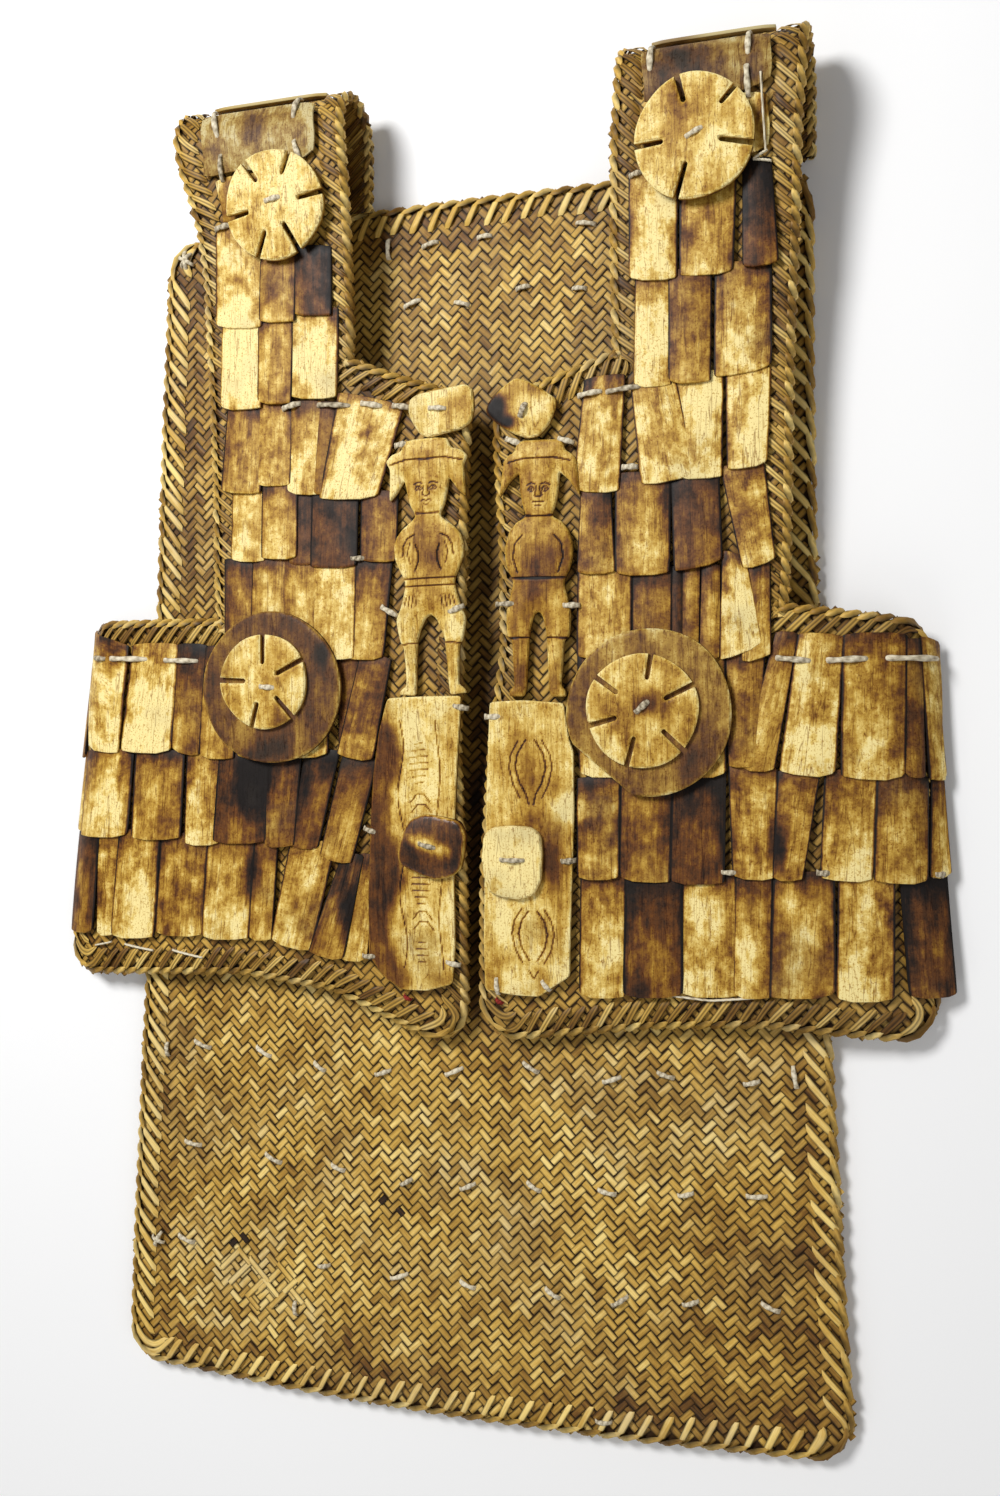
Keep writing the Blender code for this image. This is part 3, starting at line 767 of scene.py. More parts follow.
# Bone: pale where it is worn, amber to near black where it is stained, and darker still where painted shade is laid
# on
boneShades = [(0.0, (0.90, 0.74, 0.32)), (0.12, (0.75, 0.54, 0.15)), (0.28, (0.51, 0.30, 0.047)),
    (0.45, (0.29, 0.138, 0.017)), (0.62, (0.135, 0.048, 0.012)), (0.82, (0.04, 0.018, 0.009)),
    (1.0, (0.010, 0.007, 0.006))]


def boneGroup():
    values = {"Seed": 0.0, "Tone": 0.3, "Edge": 1.0, "Dirt_shade": 0.0, "Stain": 1.0, "Wear": 0.22, "Cool": 0.0}
    tree, source, end = newGroup("agedBone", "Vector", values, ("Colour", "Height", "Rough"))
    vector, tone = source["Vector"], source["Tone"]
    grainOut = placeGroup(tree, grain, Vector=vector, Seed=source["Seed"], Across=420.0, Along=26.0)
    seed = worked(tree, "MULTIPLY", source["Seed"], 11.0)
    drawn = stretched(tree, vector, (1.0, 0.5, 1.0))
    cloud = noise(tree, drawn, seed, Scale=48.0, Detail=5.0, Roughness=0.58, Distortion=0.3)
    patch = noise(tree, vector, worked(tree, "ADD", seed, 5.0), Scale=105.0, Detail=6.0, Roughness=0.72)
    pits = noise(tree, vector, seed, Scale=950.0, Detail=2.0)
    uneven = ramp(tree, tone, [(0.35, 1.0), (0.8, 0.62)])
    stain = worked(tree, "MULTIPLY_ADD", cloud, 2.1, worked(tree, "MULTIPLY_ADD", patch, 1.5, -1.8))
    stain = worked(tree, "MULTIPLY", worked(tree, "MULTIPLY", uneven, source["Stain"]), stain)
    level = worked(tree, "ADD", tone, stain)
    level = worked(tree, "ADD", level, worked(tree, "MULTIPLY_ADD", grainOut["Streaks"], 0.5, -0.25))
    worn = worked(tree, "MULTIPLY", worked(tree, "SUBTRACT", 1.0, source["Edge"]), source["Wear"])
    level = worked(tree, "SUBTRACT", level, worn)
    # Darkening read from the line-and-shade attribute: dirt in engraved lines and between plates, painted shade
    # between plates, under the row above and down the sides of cut pieces
    level = worked(tree, "ADD", level, worked(tree, "MULTIPLY", source["Dirt_shade"], 0.55))
    colour = ramp(tree, level, boneShades)
    weather = noise(tree, vector, worked(tree, "ADD", seed, 9.0), Scale=26.0, Detail=3.0)
    greyMask = worked(tree, "MAXIMUM", ramp(tree, weather, [(0.55, 0.0), (0.75, 0.45)]), source["Cool"])
    grey = mixed(tree, "MIX", 0.4, mixed(tree, "MULTIPLY", 1.0, colour, (0.62, 0.64, 0.8, 1)), (0.12, 0.095, 0.07, 1))
    greyed = mixed(tree, "MIX", greyMask, colour, grey)
    split = stretched(tree, vector, (230.0, 16.0, 230.0))
    thread = noise(tree, split, worked(tree, "ADD", seed, 3.0), Scale=1.0, Detail=2.5, Roughness=0.55)
    crack = ramp(tree, thread, [
        (0.436, 1.0), (0.452, (0.35, 0.22, 0.12)), (0.468, 1.0), (0.556, 1.0), (0.568, (0.6, 0.48, 0.34)),
        (0.58, 1.0),
    ])
    greyed = mixed(tree, "MULTIPLY", 0.85, greyed, crack)
    dot = ramp(tree, pits, [(0.32, (0.6, 0.45, 0.27)), (0.45, 1.0)])
    tree.links.new(mixed(tree, "MULTIPLY", 1.0, greyed, dot), end["Colour"])
    fine, broad = worked(tree, "MULTIPLY", grainOut["Height"], 0.6), worked(tree, "MULTIPLY", patch, 0.4)
    tree.links.new(worked(tree, "ADD", fine, broad), end["Height"])
    tree.links.new(worked(tree, "MULTIPLY_ADD", patch, 0.35, 0.32), end["Rough"])
    return tree


agedBone = boneGroup()


def boneMaterial(name, onFibre, stain=1.0, wear=0.22, coat=0.0, cool=0.0):
    made, tree, shader = newMaterial(name, specular=0.16)
    vector = fibrePlace(tree) if onFibre else objectPlace(tree)
    read = {word.capitalize(): attributeOf(tree, word) for word in ("seed", "tone", "edge", "dirt_shade")}
    bone = placeGroup(tree, agedBone, Vector=vector, Stain=stain, Wear=wear, Cool=cool, **read)
    tree.links.new(bone["Colour"], shader.inputs["Base Color"])
    tree.links.new(bone["Rough"], shader.inputs["Roughness"])
    shader.inputs["Coat Weight"].default_value = coat
    shader.inputs["Coat Roughness"].default_value = 0.25
    bumped(tree, shader, bone["Height"], 0.6, 0.0003)
    return made


plateFinish = boneMaterial("plateBone", True, wear=0.3)
print("bone finishes ready")

# Bone plates: one slat modelled, then laid in rows with its foot over the row below
plates = {
    "width": 27.0,
    "length": 60.0,
    "thick": 2.1,
    "camber": 0.8,
    "rise": 2.4,
    "bevel": 0.45,
    "sharp": 50,
    "darkened": 0.9,
    "worn": 1.6,
    "faded": 1.6,
}


def thickened(made, thick, bevel):
    applyModifier(made, "SOLIDIFY", thickness=thick, offset=1)
    applyModifier(made, "BEVEL", width=bevel, segments=2, angle_limit=math.radians(plates["sharp"]))


def plateMaster(clips):
    made = unitGrid(6, 9)
    wide, long = plates["width"], plates["length"]
    for vertex in made.data.vertices:
        x = float(np.interp(vertex.co.x, (0, 1 / 6, 1 / 3, 2 / 3, 5 / 6, 1), (0, 0.05, 0.27, 0.73, 0.95, 1)))
        y = float(np.interp(vertex.co.y, (0, 1 / 9, 2 / 9, 1), (0, 0.035, 0.15, 1)))
        clip = clips[0 if x < 0.5 else 1]
        off = abs(x - 0.5) * 2
        if y < 0.2:
            y += clip / long * off**6 * (1 - y / 0.2)
        if y > 0.8:
            y -= 1.2 / long * off**6
        x = 0.5 + (x - 0.5) * (1 - (clip / wide) * 0.5 * max(0, 1 - y * 9))
        vertex.co = (x * wide, y * long, plates["camber"] * (1 - (2 * x - 1) ** 2) + plates["rise"] * (1 - y))
    thickened(made, plates["thick"], plates["bevel"])
    master = takeMaster(made, wide, long)
    x, y = master["points"][:, 0], master["points"][:, 1]
    side = np.minimum(x, 1 - x) * wide
    # Darker within about 1.4 mm of each side and over the top fifth: partly dirt, partly painted shade between the
    # plates and under the foot of the row above
    darkened = np.clip(1.5 - side / plates["darkened"], 0, 1.4) + np.clip((y - 0.8) / 0.2, 0, 1) * 0.5
    # Here y is already a share of the length, so wear fades from the foot to the top
    return {**master, "edge": np.clip(y / plates["faded"], 0, 1), "dirt_shade": np.clip(darkened, 0, 1.4)}


def wornMaster(made, wide, long):
    master = takeMaster(made, wide, long)
    x, y = (master["points"][:, :2] * (wide, long)).T
    near = np.minimum(np.minimum(x, wide - x), np.minimum(y, long - y))
    return {**master, "edge": np.clip(near / plates["worn"], 0, 1)}


plateMasters = [plateMaster((2.6, 2.2)), plateMaster((1.4, 3.4)), plateMaster((3.2, 1.2))]

# Each plate's corners as s and v: top outer, top inner, foot outer, foot inner; then its tone and how deep it lies
plateRows = {
    "left_strap_plates_upper": [
        (168, 332, 136, 324, 171, 269, 139, 266, 0.25, 0), (138, 313, 114, 310, 140, 269, 116, 268, 0.5, 0),
        (117, 315, 90, 312, 118, 272, 91, 269, 0.85, 0)],
    "left_strap_plates_lower": [
        (167, 279, 139, 276, 169, 217, 141, 216, 0.1, 0), (142, 276, 118, 274, 143, 219, 120, 218, 0.45, 0),
        (120, 277, 87, 275, 121, 221, 89, 219, 0.05, 0)],
    "left_chest_plates_row_1": [
        (165, 222, 141, 220, 170, 165, 142, 163, 0.45, 0), (145, 220, 120, 218, 146, 168, 121, 167, 0.3, 0),
        (123, 220, 99, 219, 124, 162, 103, 160, 0.2, 0),
        (106, 219, 90, 218, 107, 161, 94, 160, 0.7, -1), (88, 224, 45, 212, 102, 157, 63, 156, 0.12, 0.4)],
    "left_chest_plates_row_2": [
        (163, 168, 139, 167, 164, 121, 140, 120, 0.3, 0), (142, 171, 117, 170, 142, 122, 117, 121, 0.45, 0),
        (124, 166, 106, 165, 124, 118, 106, 117, 0.8, -0.8),
        (108, 164, 76, 162, 109, 115, 77, 114, 0.85, 0), (74, 162, 50, 160, 75, 118, 51, 117, 0.6, 0)],
    "left_chest_plates_row_3": [
        (169, 124, 147, 123, 169, 72, 147, 72, 0.6, 0), (149, 124, 124, 123, 150, 72, 125, 71, 0.5, 0),
        (128, 123, 105, 122, 128, 71, 106, 64, 0.4, 0),
        (108, 119, 78, 118, 109, 58, 79, 58, 0.12, 0.5), (82, 122, 54, 121, 86, 58, 60, 57, 0.55, 0)],
    "left_chest_plates_row_4": [
        (92, 66, 75, 65, 91, -1, 77, -1, 0.7, -0.8), (76, 63, 55, 58, 92, -1, 68, -6, 0.5, 0)],
    "left_flap_plates_row_1": [
        (295, 68, 281, 69, 296, -4, 286, -3, 0.6, -0.6), (292, 84, 242, 71, 278, 2, 251, -1, 0.1, 0),
        (238, 72, 204, 71, 248, 0, 209, -1, 0.05, 0),
        (204, 71, 183, 70, 209, 1, 189, -3, 0.6, 0), (185, 69, 159, 69, 189, -4, 164, -4, 0.5, 0),
        (159, 69, 128, 66, 163, -4, 130, -4, 0.5, 0), (127, 66, 98, 60, 129, -4, 98, -2, 0.4, 0)],
    "left_flap_plates_row_2": [
        (294, 0, 283, 0, 295, -52, 285, -54, 0.3, -0.5), (283, 2, 239, 2, 287, -57, 245, -56, 0.4, 0),
        (238, 2, 200, 2, 242, -57, 204, -56, 0.5, 0),
        (199, 2, 173, 2, 201, -60, 176, -59, 0.3, 0), (176, 1, 140, 1, 181, -58, 142, -57, 0.75, 0),
        (141, 1, 117, 1, 144, -60, 123, -59, 0.65, 0),
        (115, 2, 91, 2, 126, -60, 107, -61, 0.8, 0), (89, 0, 65, -3, 106, -66, 84, -70, 0.65, 0)],
    "left_flap_plates_row_3": [
        (296, -52, 269, -51, 297, -122, 275, -121, 0.6, 0), (270, -50, 253, -50, 272, -122, 258, -121, 0.3, -0.6),
        (253, -50, 220, -50, 261, -123, 226, -121, 0.3, 0),
        (220, -52, 185, -52, 226, -120, 190, -119, 0.4, 0), (185, -53, 150, -53, 191, -121, 157, -119, 0.4, 0),
        (152, -53, 135, -54, 157, -120, 140, -119, 0.5, -0.7),
        (126, -55, 95, -55, 141, -120, 113, -126, 0.25, 0.3), (90, -62, 76, -63, 115, -126, 91, -131, 0.6, 0),
        (80, -62, 67, -63, 93, -130, 75, -130, 0.4, -0.7)],
    "right_strap_plates_upper": [
        (97, 333, 125, 330, 96, 272, 124, 270, 0.2, 0), (126, 325, 158, 322, 125, 272, 156, 271, 0.4, 0),
        (162, 332, 178, 332, 161, 272, 182, 274, 0.85, 0)],
    "right_strap_plates_lower": [
        (99, 278, 121, 275, 98, 211, 120, 211, 0.25, 0), (119, 277, 144, 275, 118, 211, 143, 211, 0.5, 0),
        (145, 278, 177, 276, 144, 213, 177, 216, 0.4, 0)],
    "right_chest_plates_row_1": [
        (68, 219, 93, 221, 61, 153, 89, 151, 0.25, 0), (96, 214, 122, 216, 102, 154, 134, 159, 0.1, 0.6),
        (122, 219, 149, 218, 122, 157, 149, 157, 0.1, 0), (151, 218, 176, 218, 152, 160, 174, 162, 0.1, 0)],
    "right_chest_plates_row_2": [
        (65, 156, 84, 155, 63, 105, 86, 105, 0.45, 0), (86, 164, 119, 162, 86, 103, 118, 103, 0.5, 0),
        (119, 162, 147, 163, 121, 104, 149, 109, 0.75, 0), (147, 164, 172, 164, 160, 103, 179, 109, 0.35, 0)],
    "right_chest_plates_row_3": [
        (63, 110, 96, 108, 63, 55, 96, 54, 0.45, 0), (96, 110, 119, 109, 96, 57, 119, 57, 0.55, 0),
        (118, 108, 126, 108, 118, 57, 126, 57, 0.9, -0.8), (125, 108, 136, 108, 125, 57, 135, 56, 0.5, -0.4),
        (136, 108, 147, 108, 135, 54, 147, 53, 0.5, 0), (148, 116, 162, 112, 147, 52, 172, 61, 0.2, 0.8),
        (161, 109, 175, 109, 159, 51, 176, 56, 0.45, 0)],
    "right_flap_plates_row_1": [
        (62, 61, 92, 60, 63, -14, 92, -14, 0.4, 0), (93, 60, 122, 60, 93, -14, 122, -14, 0.5, 0),
        (123, 60, 150, 60, 123, -14, 150, -14, 0.5, 0), (150, 62, 172, 61, 151, -8, 169, -8, 0.5, -0.5),
        (178, 69, 191, 68, 158, -10, 177, -11, 0.5, 0), (191, 68, 215, 66, 180, -11, 210, -14, 0.2, 0.2),
        (215, 67, 248, 67, 213, -14, 247, -15, 0.4, 0), (246, 64, 258, 64, 246, -13, 258, -14, 0.6, -0.7),
        (256, 66, 274, 62, 260, -16, 286, -15, 0.3, 0)],
    "right_flap_plates_row_2": [
        (62, -14, 88, -14, 62, -75, 87, -74, 0.5, 0), (88, -12, 119, -12, 87, -75, 117, -75, 0.6, 0),
        (119, -9, 150, -9, 117, -76, 149, -75, 0.85, 0), (151, -6, 179, -8, 153, -72, 177, -72, 0.4, 0),
        (179, -9, 203, -10, 176, -72, 193, -71, 0.45, 0), (205, -9, 233, -9, 202, -71, 231, -72, 0.35, 0),
        (233, -9, 261, -12, 231, -72, 259, -73, 0.5, 0), (263, -12, 279, -12, 260, -71, 282, -68, 0.5, 0)],
    "right_flap_plates_row_3": [
        (63, -69, 90, -69, 61, -146, 89, -144, 0.4, 0), (90, -69, 124, -68, 88, -144, 124, -142, 0.85, 0),
        (124, -68, 155, -67, 122, -142, 157, -140, 0.35, 0), (155, -67, 176, -67, 153, -141, 174, -140, 0.45, -0.4),
        (176, -67, 210, -66, 174, -140, 210, -138, 0.55, 0), (212, -66, 242, -65, 210, -140, 242, -139, 0.3, 0),
        (244, -67, 276, -68, 249, -137, 280, -136, 0.95, 0)],
}


def sideOf(name):
    return -1 if name.startswith(("left", "horn")) else 1


def plateQuad(name, entry):
    corners = [(form["frontCentre"] + sideOf(name) * entry[k], entry[k + 1]) for k in (4, 6, 2, 0)]
    if corners[0][0] > corners[1][0]:
        corners = [corners[1], corners[0], corners[3], corners[2]]
    return corners


def layPlates(name, quads, tones, levels, place):
    quads = np.array(quads, float) + (dice.random((len(quads), 4, 2)) - 0.5) * 0.9
    kind = dice.integers(0, 3, len(quads))
    tones, lift = np.array(tones) * 0.98 + 0.1, 1.9 + np.array(levels)
    pieces = []
    for k, master in enumerate(plateMasters):
        chosen = kind == k
        if chosen.any():
            tall = 0.85 + 0.3 * dice.random(chosen.sum())
            parts = (quads[chosen], place, lift[chosen])
            pieces.append(spread(name, master, *parts, tall=tall, tone=tones[chosen], finish=plateFinish))
    made = joined(name, pieces)
    smoothByAngle(made)
    return made


# Old stains and worn places, by x and y over the lying vest, with their sizes and how much darker they are
stains = [
    (-138, -21, 9, 17, 0.9), (-128, -14, 8, 10, 0.5), (-83, 64, 5, 8, 0.6), (-121, 5, 14, 8, 0.4),
    (-137, -73, 4, 14, 0.6), (-257, -87, 10, 18, 0.3),
    (-71, -92, 6, 16, 0.7), (-100, -99, 14, 22, 0.3), (123, 31, 12, 8, 0.6), (-110, 22, 9, 12, 0.25),
    (150, 0, 10, 14, 0.3), (76, -30, 12, 7, -0.7), (196, -52, 4, 14, 0.8), (62, -62, 8, 20, 0.4),
    (207, -84, 7, 20, -0.3), (148, -92, 6, 16, -0.3), (-150, 250, 12, 24, -0.25), (-98, 214, 10, 16, 0.4),
    (-241, 58, 4, 11, 0.5),
]


def stained(made):
    points, tone = np.empty(len(made.data.vertices) * 3), np.empty(len(made.data.vertices))
    field = made.data.attributes["tone"].data
    made.data.vertices.foreach_get("co", points)
    field.foreach_get("value", tone)
    flat = points.reshape(-1, 3)[:, :2] / millimetre
    for x, y, wide, tall, darker in stains:
        tone += darker * spot(flat, (x, y), (wide, tall))
    field.foreach_set("value", tone.astype(np.float32))


def finishPiece(made, node):
    if not node.startswith("back_"):
        stained(made)
    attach(made, "root")
    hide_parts(node)


for name, row in plateRows.items():
    quads = [plateQuad(name, entry) for entry in row]
    made = layPlates(name + "_slats", quads, [entry[8] for entry in row], [entry[9] for entry in row], onFront)
    finishPiece(made, name)
print("front plates laid")


# Plates across the shoulders, on the bend of each strap and on its end
crossRows = [
    {"name": "left_cross_plate_upper", "corners": (174, 397, 97, 397, 174, 359, 98, 365), "tone": 0.3, "cool": True},
    {"name": "left_cross_plate_lower", "corners": (166, 360, 98, 360, 163, 331, 98, 330), "tone": 0.55,
        "cool": False},
    {"name": "right_cross_plate_upper", "corners": (106, 397, 179, 397, 107, 367, 178, 370), "tone": 0.52,
        "cool": True},
    {"name": "right_cross_plate_lower", "corners": (105, 367, 177, 367, 106, 335, 176, 335), "tone": 0.35,
        "cool": False},
]
crossShape = {"width": 70.0, "length": 26.0, "thick": 2.0, "camber": 0.9, "bevel": 0.45, "upperLift": 3.0,
    "lowerLift": 1.7}


def crossMaster():
    made = unitGrid(12, 5)
    wide, long = crossShape["width"], crossShape["length"]
    for vertex in made.data.vertices:
        x, y = vertex.co.x, vertex.co.y
        off = abs(x - 0.5) * 2
        x += 0.012 * math.sin(y * 5)
        y += 0.05 * math.sin(x * 7) * (1 - y) + 0.08 * off**8 * (0.5 - y) * 2
        vertex.co = (x * wide, y * long, crossShape["camber"] * (1 - (2 * y - 1) ** 2))
    thickened(made, crossShape["thick"], crossShape["bevel"])
    return wornMaster(made, wide, long)


barFinish = boneMaterial("barBone", True, wear=0.3, cool=0.7)
crossSlat = crossMaster()

for entry in crossRows:
    quad = plateQuad(entry["name"], entry["corners"])
    lift = crossShape["upperLift" if entry["cool"] else "lowerLift"]
    finish = barFinish if entry["cool"] else plateFinish
    made = spread(entry["name"] + "_slat", crossSlat, [quad], onFront, lift, tone=[entry["tone"]], finish=finish)
    smoothByAngle(made)
    finishPiece(made, entry["name"])

# The plate that closes each strap's end stands on edge behind the shoulder
shoulder = {"gap": 1.6, "foot": 13, "tall": 27}
for name, inner, outer, tone in (("left_shoulder_plate", 98, 176, 0.4), ("right_shoulder_plate", 107, 178, 0.42)):
    def standing(points, side=sideOf(name), inner=inner, outer=outer):
        x = form["frontCentre"] + side * (inner + outer) / 2 + (points[:, 0] - 0.5) * (outer - inner)
        y = form["shoulderCrest"] + form["shoulderRadius"] + shoulder["gap"] + points[:, 2]
        return np.column_stack([x, y, shoulder["foot"] + points[:, 1] * shoulder["tall"]])

    flat = [[(1, 0), (0, 0), (0, 1), (1, 1)]]
    made = spread(name + "_slat", crossSlat, flat, standing, 0.0, tone=[tone], finish=barFinish)
    smoothByAngle(made)
    finishPiece(made, name)

# Rows of plates on the back's outer face, which rest on the floor
backPlates = {
    "rows": 11,
    "inRow": 9,
    "top": 322.5,
    "foot": -390,
    "overlap": 6.0,
    "lift": 2.6,
    "width": 44,
    "length": 70,
    "thick": 2.0,
    "slope": 1.9,
    "corner": 3.5,
    "slit": 0.002,
}


def backEdges(v):
    table = [(-390, -226, 215), (-310, -223, 210), (-156, -215, 202), (102, -206, 194), (220, -202, 192),
        (322, -197, 192)]
    levels, left, right = np.array(table, float).T
    return np.interp(v, levels, left) + 2, np.interp(v, levels, right) - 2


def flatMaster():
    deselect()
    bpy.ops.mesh.primitive_cube_add(size=1, location=(0.5, 0.5, 0.5))
    bpy.ops.object.transform_apply(location=True)
    made = bpy.context.object
    mesh = made.data
    wide, long = backPlates["width"], backPlates["length"]
    for vertex in mesh.vertices:
        x, y, z = vertex.co
        vertex.co = (x * wide, y * long, z * backPlates["thick"] + backPlates["slope"] * (1 - y))
    weights = mesh.attributes.new("bevel_weight_edge", "FLOAT", "EDGE")
    for edge in mesh.edges:
        a, b = (mesh.vertices[i].co for i in edge.vertices)
        weights.data[edge.index].value = 1.0 if abs(a.x - b.x) < 1 and abs(a.y - b.y) < 1 and a.y < 1 else 0.0
    applyModifier(made, "BEVEL", width=backPlates["corner"], segments=2, affect="EDGES", limit_method="WEIGHT")
    applyModifier(made, "BEVEL", width=0.4, segments=1, angle_limit=math.radians(plates["sharp"]))
    return wornMaster(made, wide, long)


backSlat = flatMaster()
step = (backPlates["top"] - backPlates["foot"]) / backPlates["rows"]
for row in range(backPlates["rows"]):
    onLast = row == backPlates["rows"] - 1
    top = backPlates["top"] - row * step
    foot = top - step - (0 if onLast else backPlates["overlap"])
    topLeft, topRight = backEdges(top)
    footLeft, footRight = backEdges(foot)
    bounds = np.arange(backPlates["inRow"] + 1) / backPlates["inRow"]
    bounds[1:-1] += (dice.random(backPlates["inRow"] - 1) - 0.5) * 0.035
    quads = []
    for a, b in zip(bounds[:-1] + backPlates["slit"], bounds[1:] - backPlates["slit"]):
        low = foot + 2.5 * dice.random() * (not onLast)
        feet = [(footLeft + (footRight - footLeft) * part, low) for part in (a, b)]
        quads.append(feet + [(topLeft + (topRight - topLeft) * part, top) for part in (b, a)])
    tones = 0.25 + 0.45 * dice.random(len(quads))
    name = "back_plates_row_" + str(row + 1)
    parts = (backSlat, quads, onBack, backPlates["lift"])
    made = spread(name + "_slats", *parts, tone=tones, down=True, finish=plateFinish)
    made.data.shade_flat()
    finishPiece(made, name)
print("cross plates and back plates laid")


# Carved and cut pieces: a slab of even grid, cut to its outline, then domed, rounded and engraved
carving = {"ringSteps": 96, "margin": 2, "cutterPast": 5, "paintedSideShade": 1.1, "fullGroove": 0.35, "wornEdge": 1.5}


def facing(side, s, v):
    x = form["frontCentre"] + side * s
    low, high = frontMiddle(np.array([x, x]), np.array([v - 1.0, v + 1.0]))
    along = Vector(high - low).normalized()
    normal = Vector((1, 0, 0)).cross(along).normalized()
    centre = Vector(frontMiddle(np.array([x]), np.array([float(v)]))[0])
    return centre, Vector((1, 0, 0)), along, normal


def distanceTo(points, line, closed=True):
    best = np.full(len(points), 1e9)
    for a, b in zip(line, np.roll(line, -1, 0) if closed else line[1:]):
        run = b - a
        part = np.clip(((points - a) @ run) / max(run @ run, 1e-9), 0, 1)
        best = np.minimum(best, np.linalg.norm(points - a - part[:, None] * run, axis=1))
    return best


def strokeDepth(points, strokes):
    depth = np.zeros(len(points))
    for wide, deep, run in strokes:
        near = distanceTo(points, np.array(run, float), closed=False)
        depth = np.maximum(depth, deep * np.clip(1 - (near / (wide / 2)) ** 2, 0, 1))
    return depth


def prism(name, loop, low, high):
    deselect()
    bpy.ops.mesh.primitive_circle_add(vertices=len(loop), radius=1, fill_type="NGON")
    made = bpy.context.object
    made.name = name
    for vertex, (x, y) in zip(made.data.vertices, loop):
        vertex.co = (x, y, low)
    bpy.ops.object.mode_set(mode="EDIT")
    bpy.ops.mesh.select_all(action="SELECT")
    bpy.ops.mesh.extrude_region_move(TRANSFORM_OT_translate={"value": (0, 0, high - low)})
    bpy.ops.mesh.select_all(action="SELECT")
    bpy.ops.mesh.normals_make_consistent(inside=False)
    bpy.ops.object.mode_set(mode="OBJECT")
    return made


def dissolveBottom(made):
    bpy.ops.object.mode_set(mode="EDIT")
    bpy.ops.mesh.select_mode(type="FACE")
    bpy.ops.mesh.select_all(action="DESELECT")
    bpy.ops.object.mode_set(mode="OBJECT")
    for face in made.data.polygons:
        face.select = face.normal.z < -0.9
    bpy.ops.object.mode_set(mode="EDIT")
    bpy.ops.mesh.dissolve_limited(angle_limit=0.01)
    bpy.ops.object.mode_set(mode="OBJECT")


def carvedSlab(name, entry):
    loop, thick, grid, rounding = (entry[word] for word in ("loop", "thick", "grid", "round"))
    low, high = loop.min(0) - carving["margin"], loop.max(0) + carving["margin"]
    size = high - low
    deselect()
    columns, rows = (int(part / grid) for part in size)
    bpy.ops.mesh.primitive_grid_add(x_subdivisions=columns, y_subdivisions=rows, size=1)
    made = bpy.context.object
    made.name = name
    made.scale = (size[0], size[1], 1)
    made.location = (*((low + high) / 2), 0)
    bpy.ops.object.transform_apply(location=True, scale=True)
    applyModifier(made, "SOLIDIFY", thickness=thick, offset=1)
    cutter = prism(name + "_cutter", loop, -carving["cutterPast"], thick + carving["cutterPast"])
    activate(made)
    applyModifier(made, "BOOLEAN", operation="INTERSECT", object=cutter, solver="EXACT")
    bpy.data.objects.remove(cutter)
    dissolveBottom(made)
    mesh = made.data
    count = len(mesh.vertices)
    points = np.zeros(count * 3)
    mesh.vertices.foreach_get("co", points)
    points = points.reshape(-1, 3)
    flat = points[:, :2]
    top = points[:, 2] > thick * 0.7
    near = distanceTo(flat, loop)
    edgeDrop = rounding * (1 - np.sqrt(np.clip(1 - np.clip(1 - near / rounding, 0, 1) ** 2, 0, 1)))
    depth = strokeDepth(flat, entry.get("strokes", []))
    points[:, 2] += np.where(top, entry["dome"](flat) - edgeDrop - depth, 0)
    # Top faces darken along the engraved lines, with dirt in them; the side walls darken fully: painted contact
    # shadow around each cut piece
    writeFields(mesh, {
        "edge": np.clip(near / carving["wornEdge"], 0, 1),
        "dirt_shade": np.where(top, np.clip(depth / carving["fullGroove"], 0, 1), carving["paintedSideShade"]),
        "tone": entry["tone"](flat) if callable(entry["tone"]) else np.full(count, entry["tone"]),
        "seed": np.full(count, entry["seed"]),
    })
    turned, quarter = wayOf(entry.get("turn", 0))
    centre, across, along, normal = (np.array(part) for part in facing(sideOf(name), entry["s"], entry["v"]))
    tilt = entry.get("tilt", (0, 0))
    x = points[:, 0] * turned - points[:, 1] * quarter
    y = points[:, 0] * quarter + points[:, 1] * turned
    z = points[:, 2] + tilt[0] * x + tilt[1] * y
    placed = centre + normal * entry["level"] + x[:, None] * across + y[:, None] * along + z[:, None] * normal
    mesh.vertices.foreach_set("co", inMetres(placed).ravel())
    mesh.materials.clear()
    mesh.materials.append(entry["finish"])
    smoothByAngle(made, 35)
    return made


def ringLoop(radius, seed, flatCut=None):
    turn = np.linspace(0, 2 * math.pi, carving["ringSteps"], endpoint=False)
    reach = np.full(len(turn), float(radius))
    for order, size, phase in ((3, 0.35, seed), (5, 0.25, seed * 2)):
        reach = reach + size * np.sin(order * turn + phase)
    loop = np.stack([reach * np.cos(turn), reach * np.sin(turn)], 1)
    if flatCut:
        way = wayOf(flatCut[0])
        loop = loop - np.maximum(loop @ way - flatCut[1], 0)[:, None] * way
    return loop


def slotMouth(mouth, angle, inner, half):
    way = wayOf(angle)
    side = np.array([way[1], -way[0]])
    outline = [way * mouth + side * half * 1.15, way * (inner + half) + side * half]
    for bend in (60, 30, 0, -30, -60):
        back, out = wayOf(bend) * half
        outline.append(way * (inner + half - back) + side * out)
    return outline + [way * (inner + half) - side * half, way * mouth - side * half * 1.15]


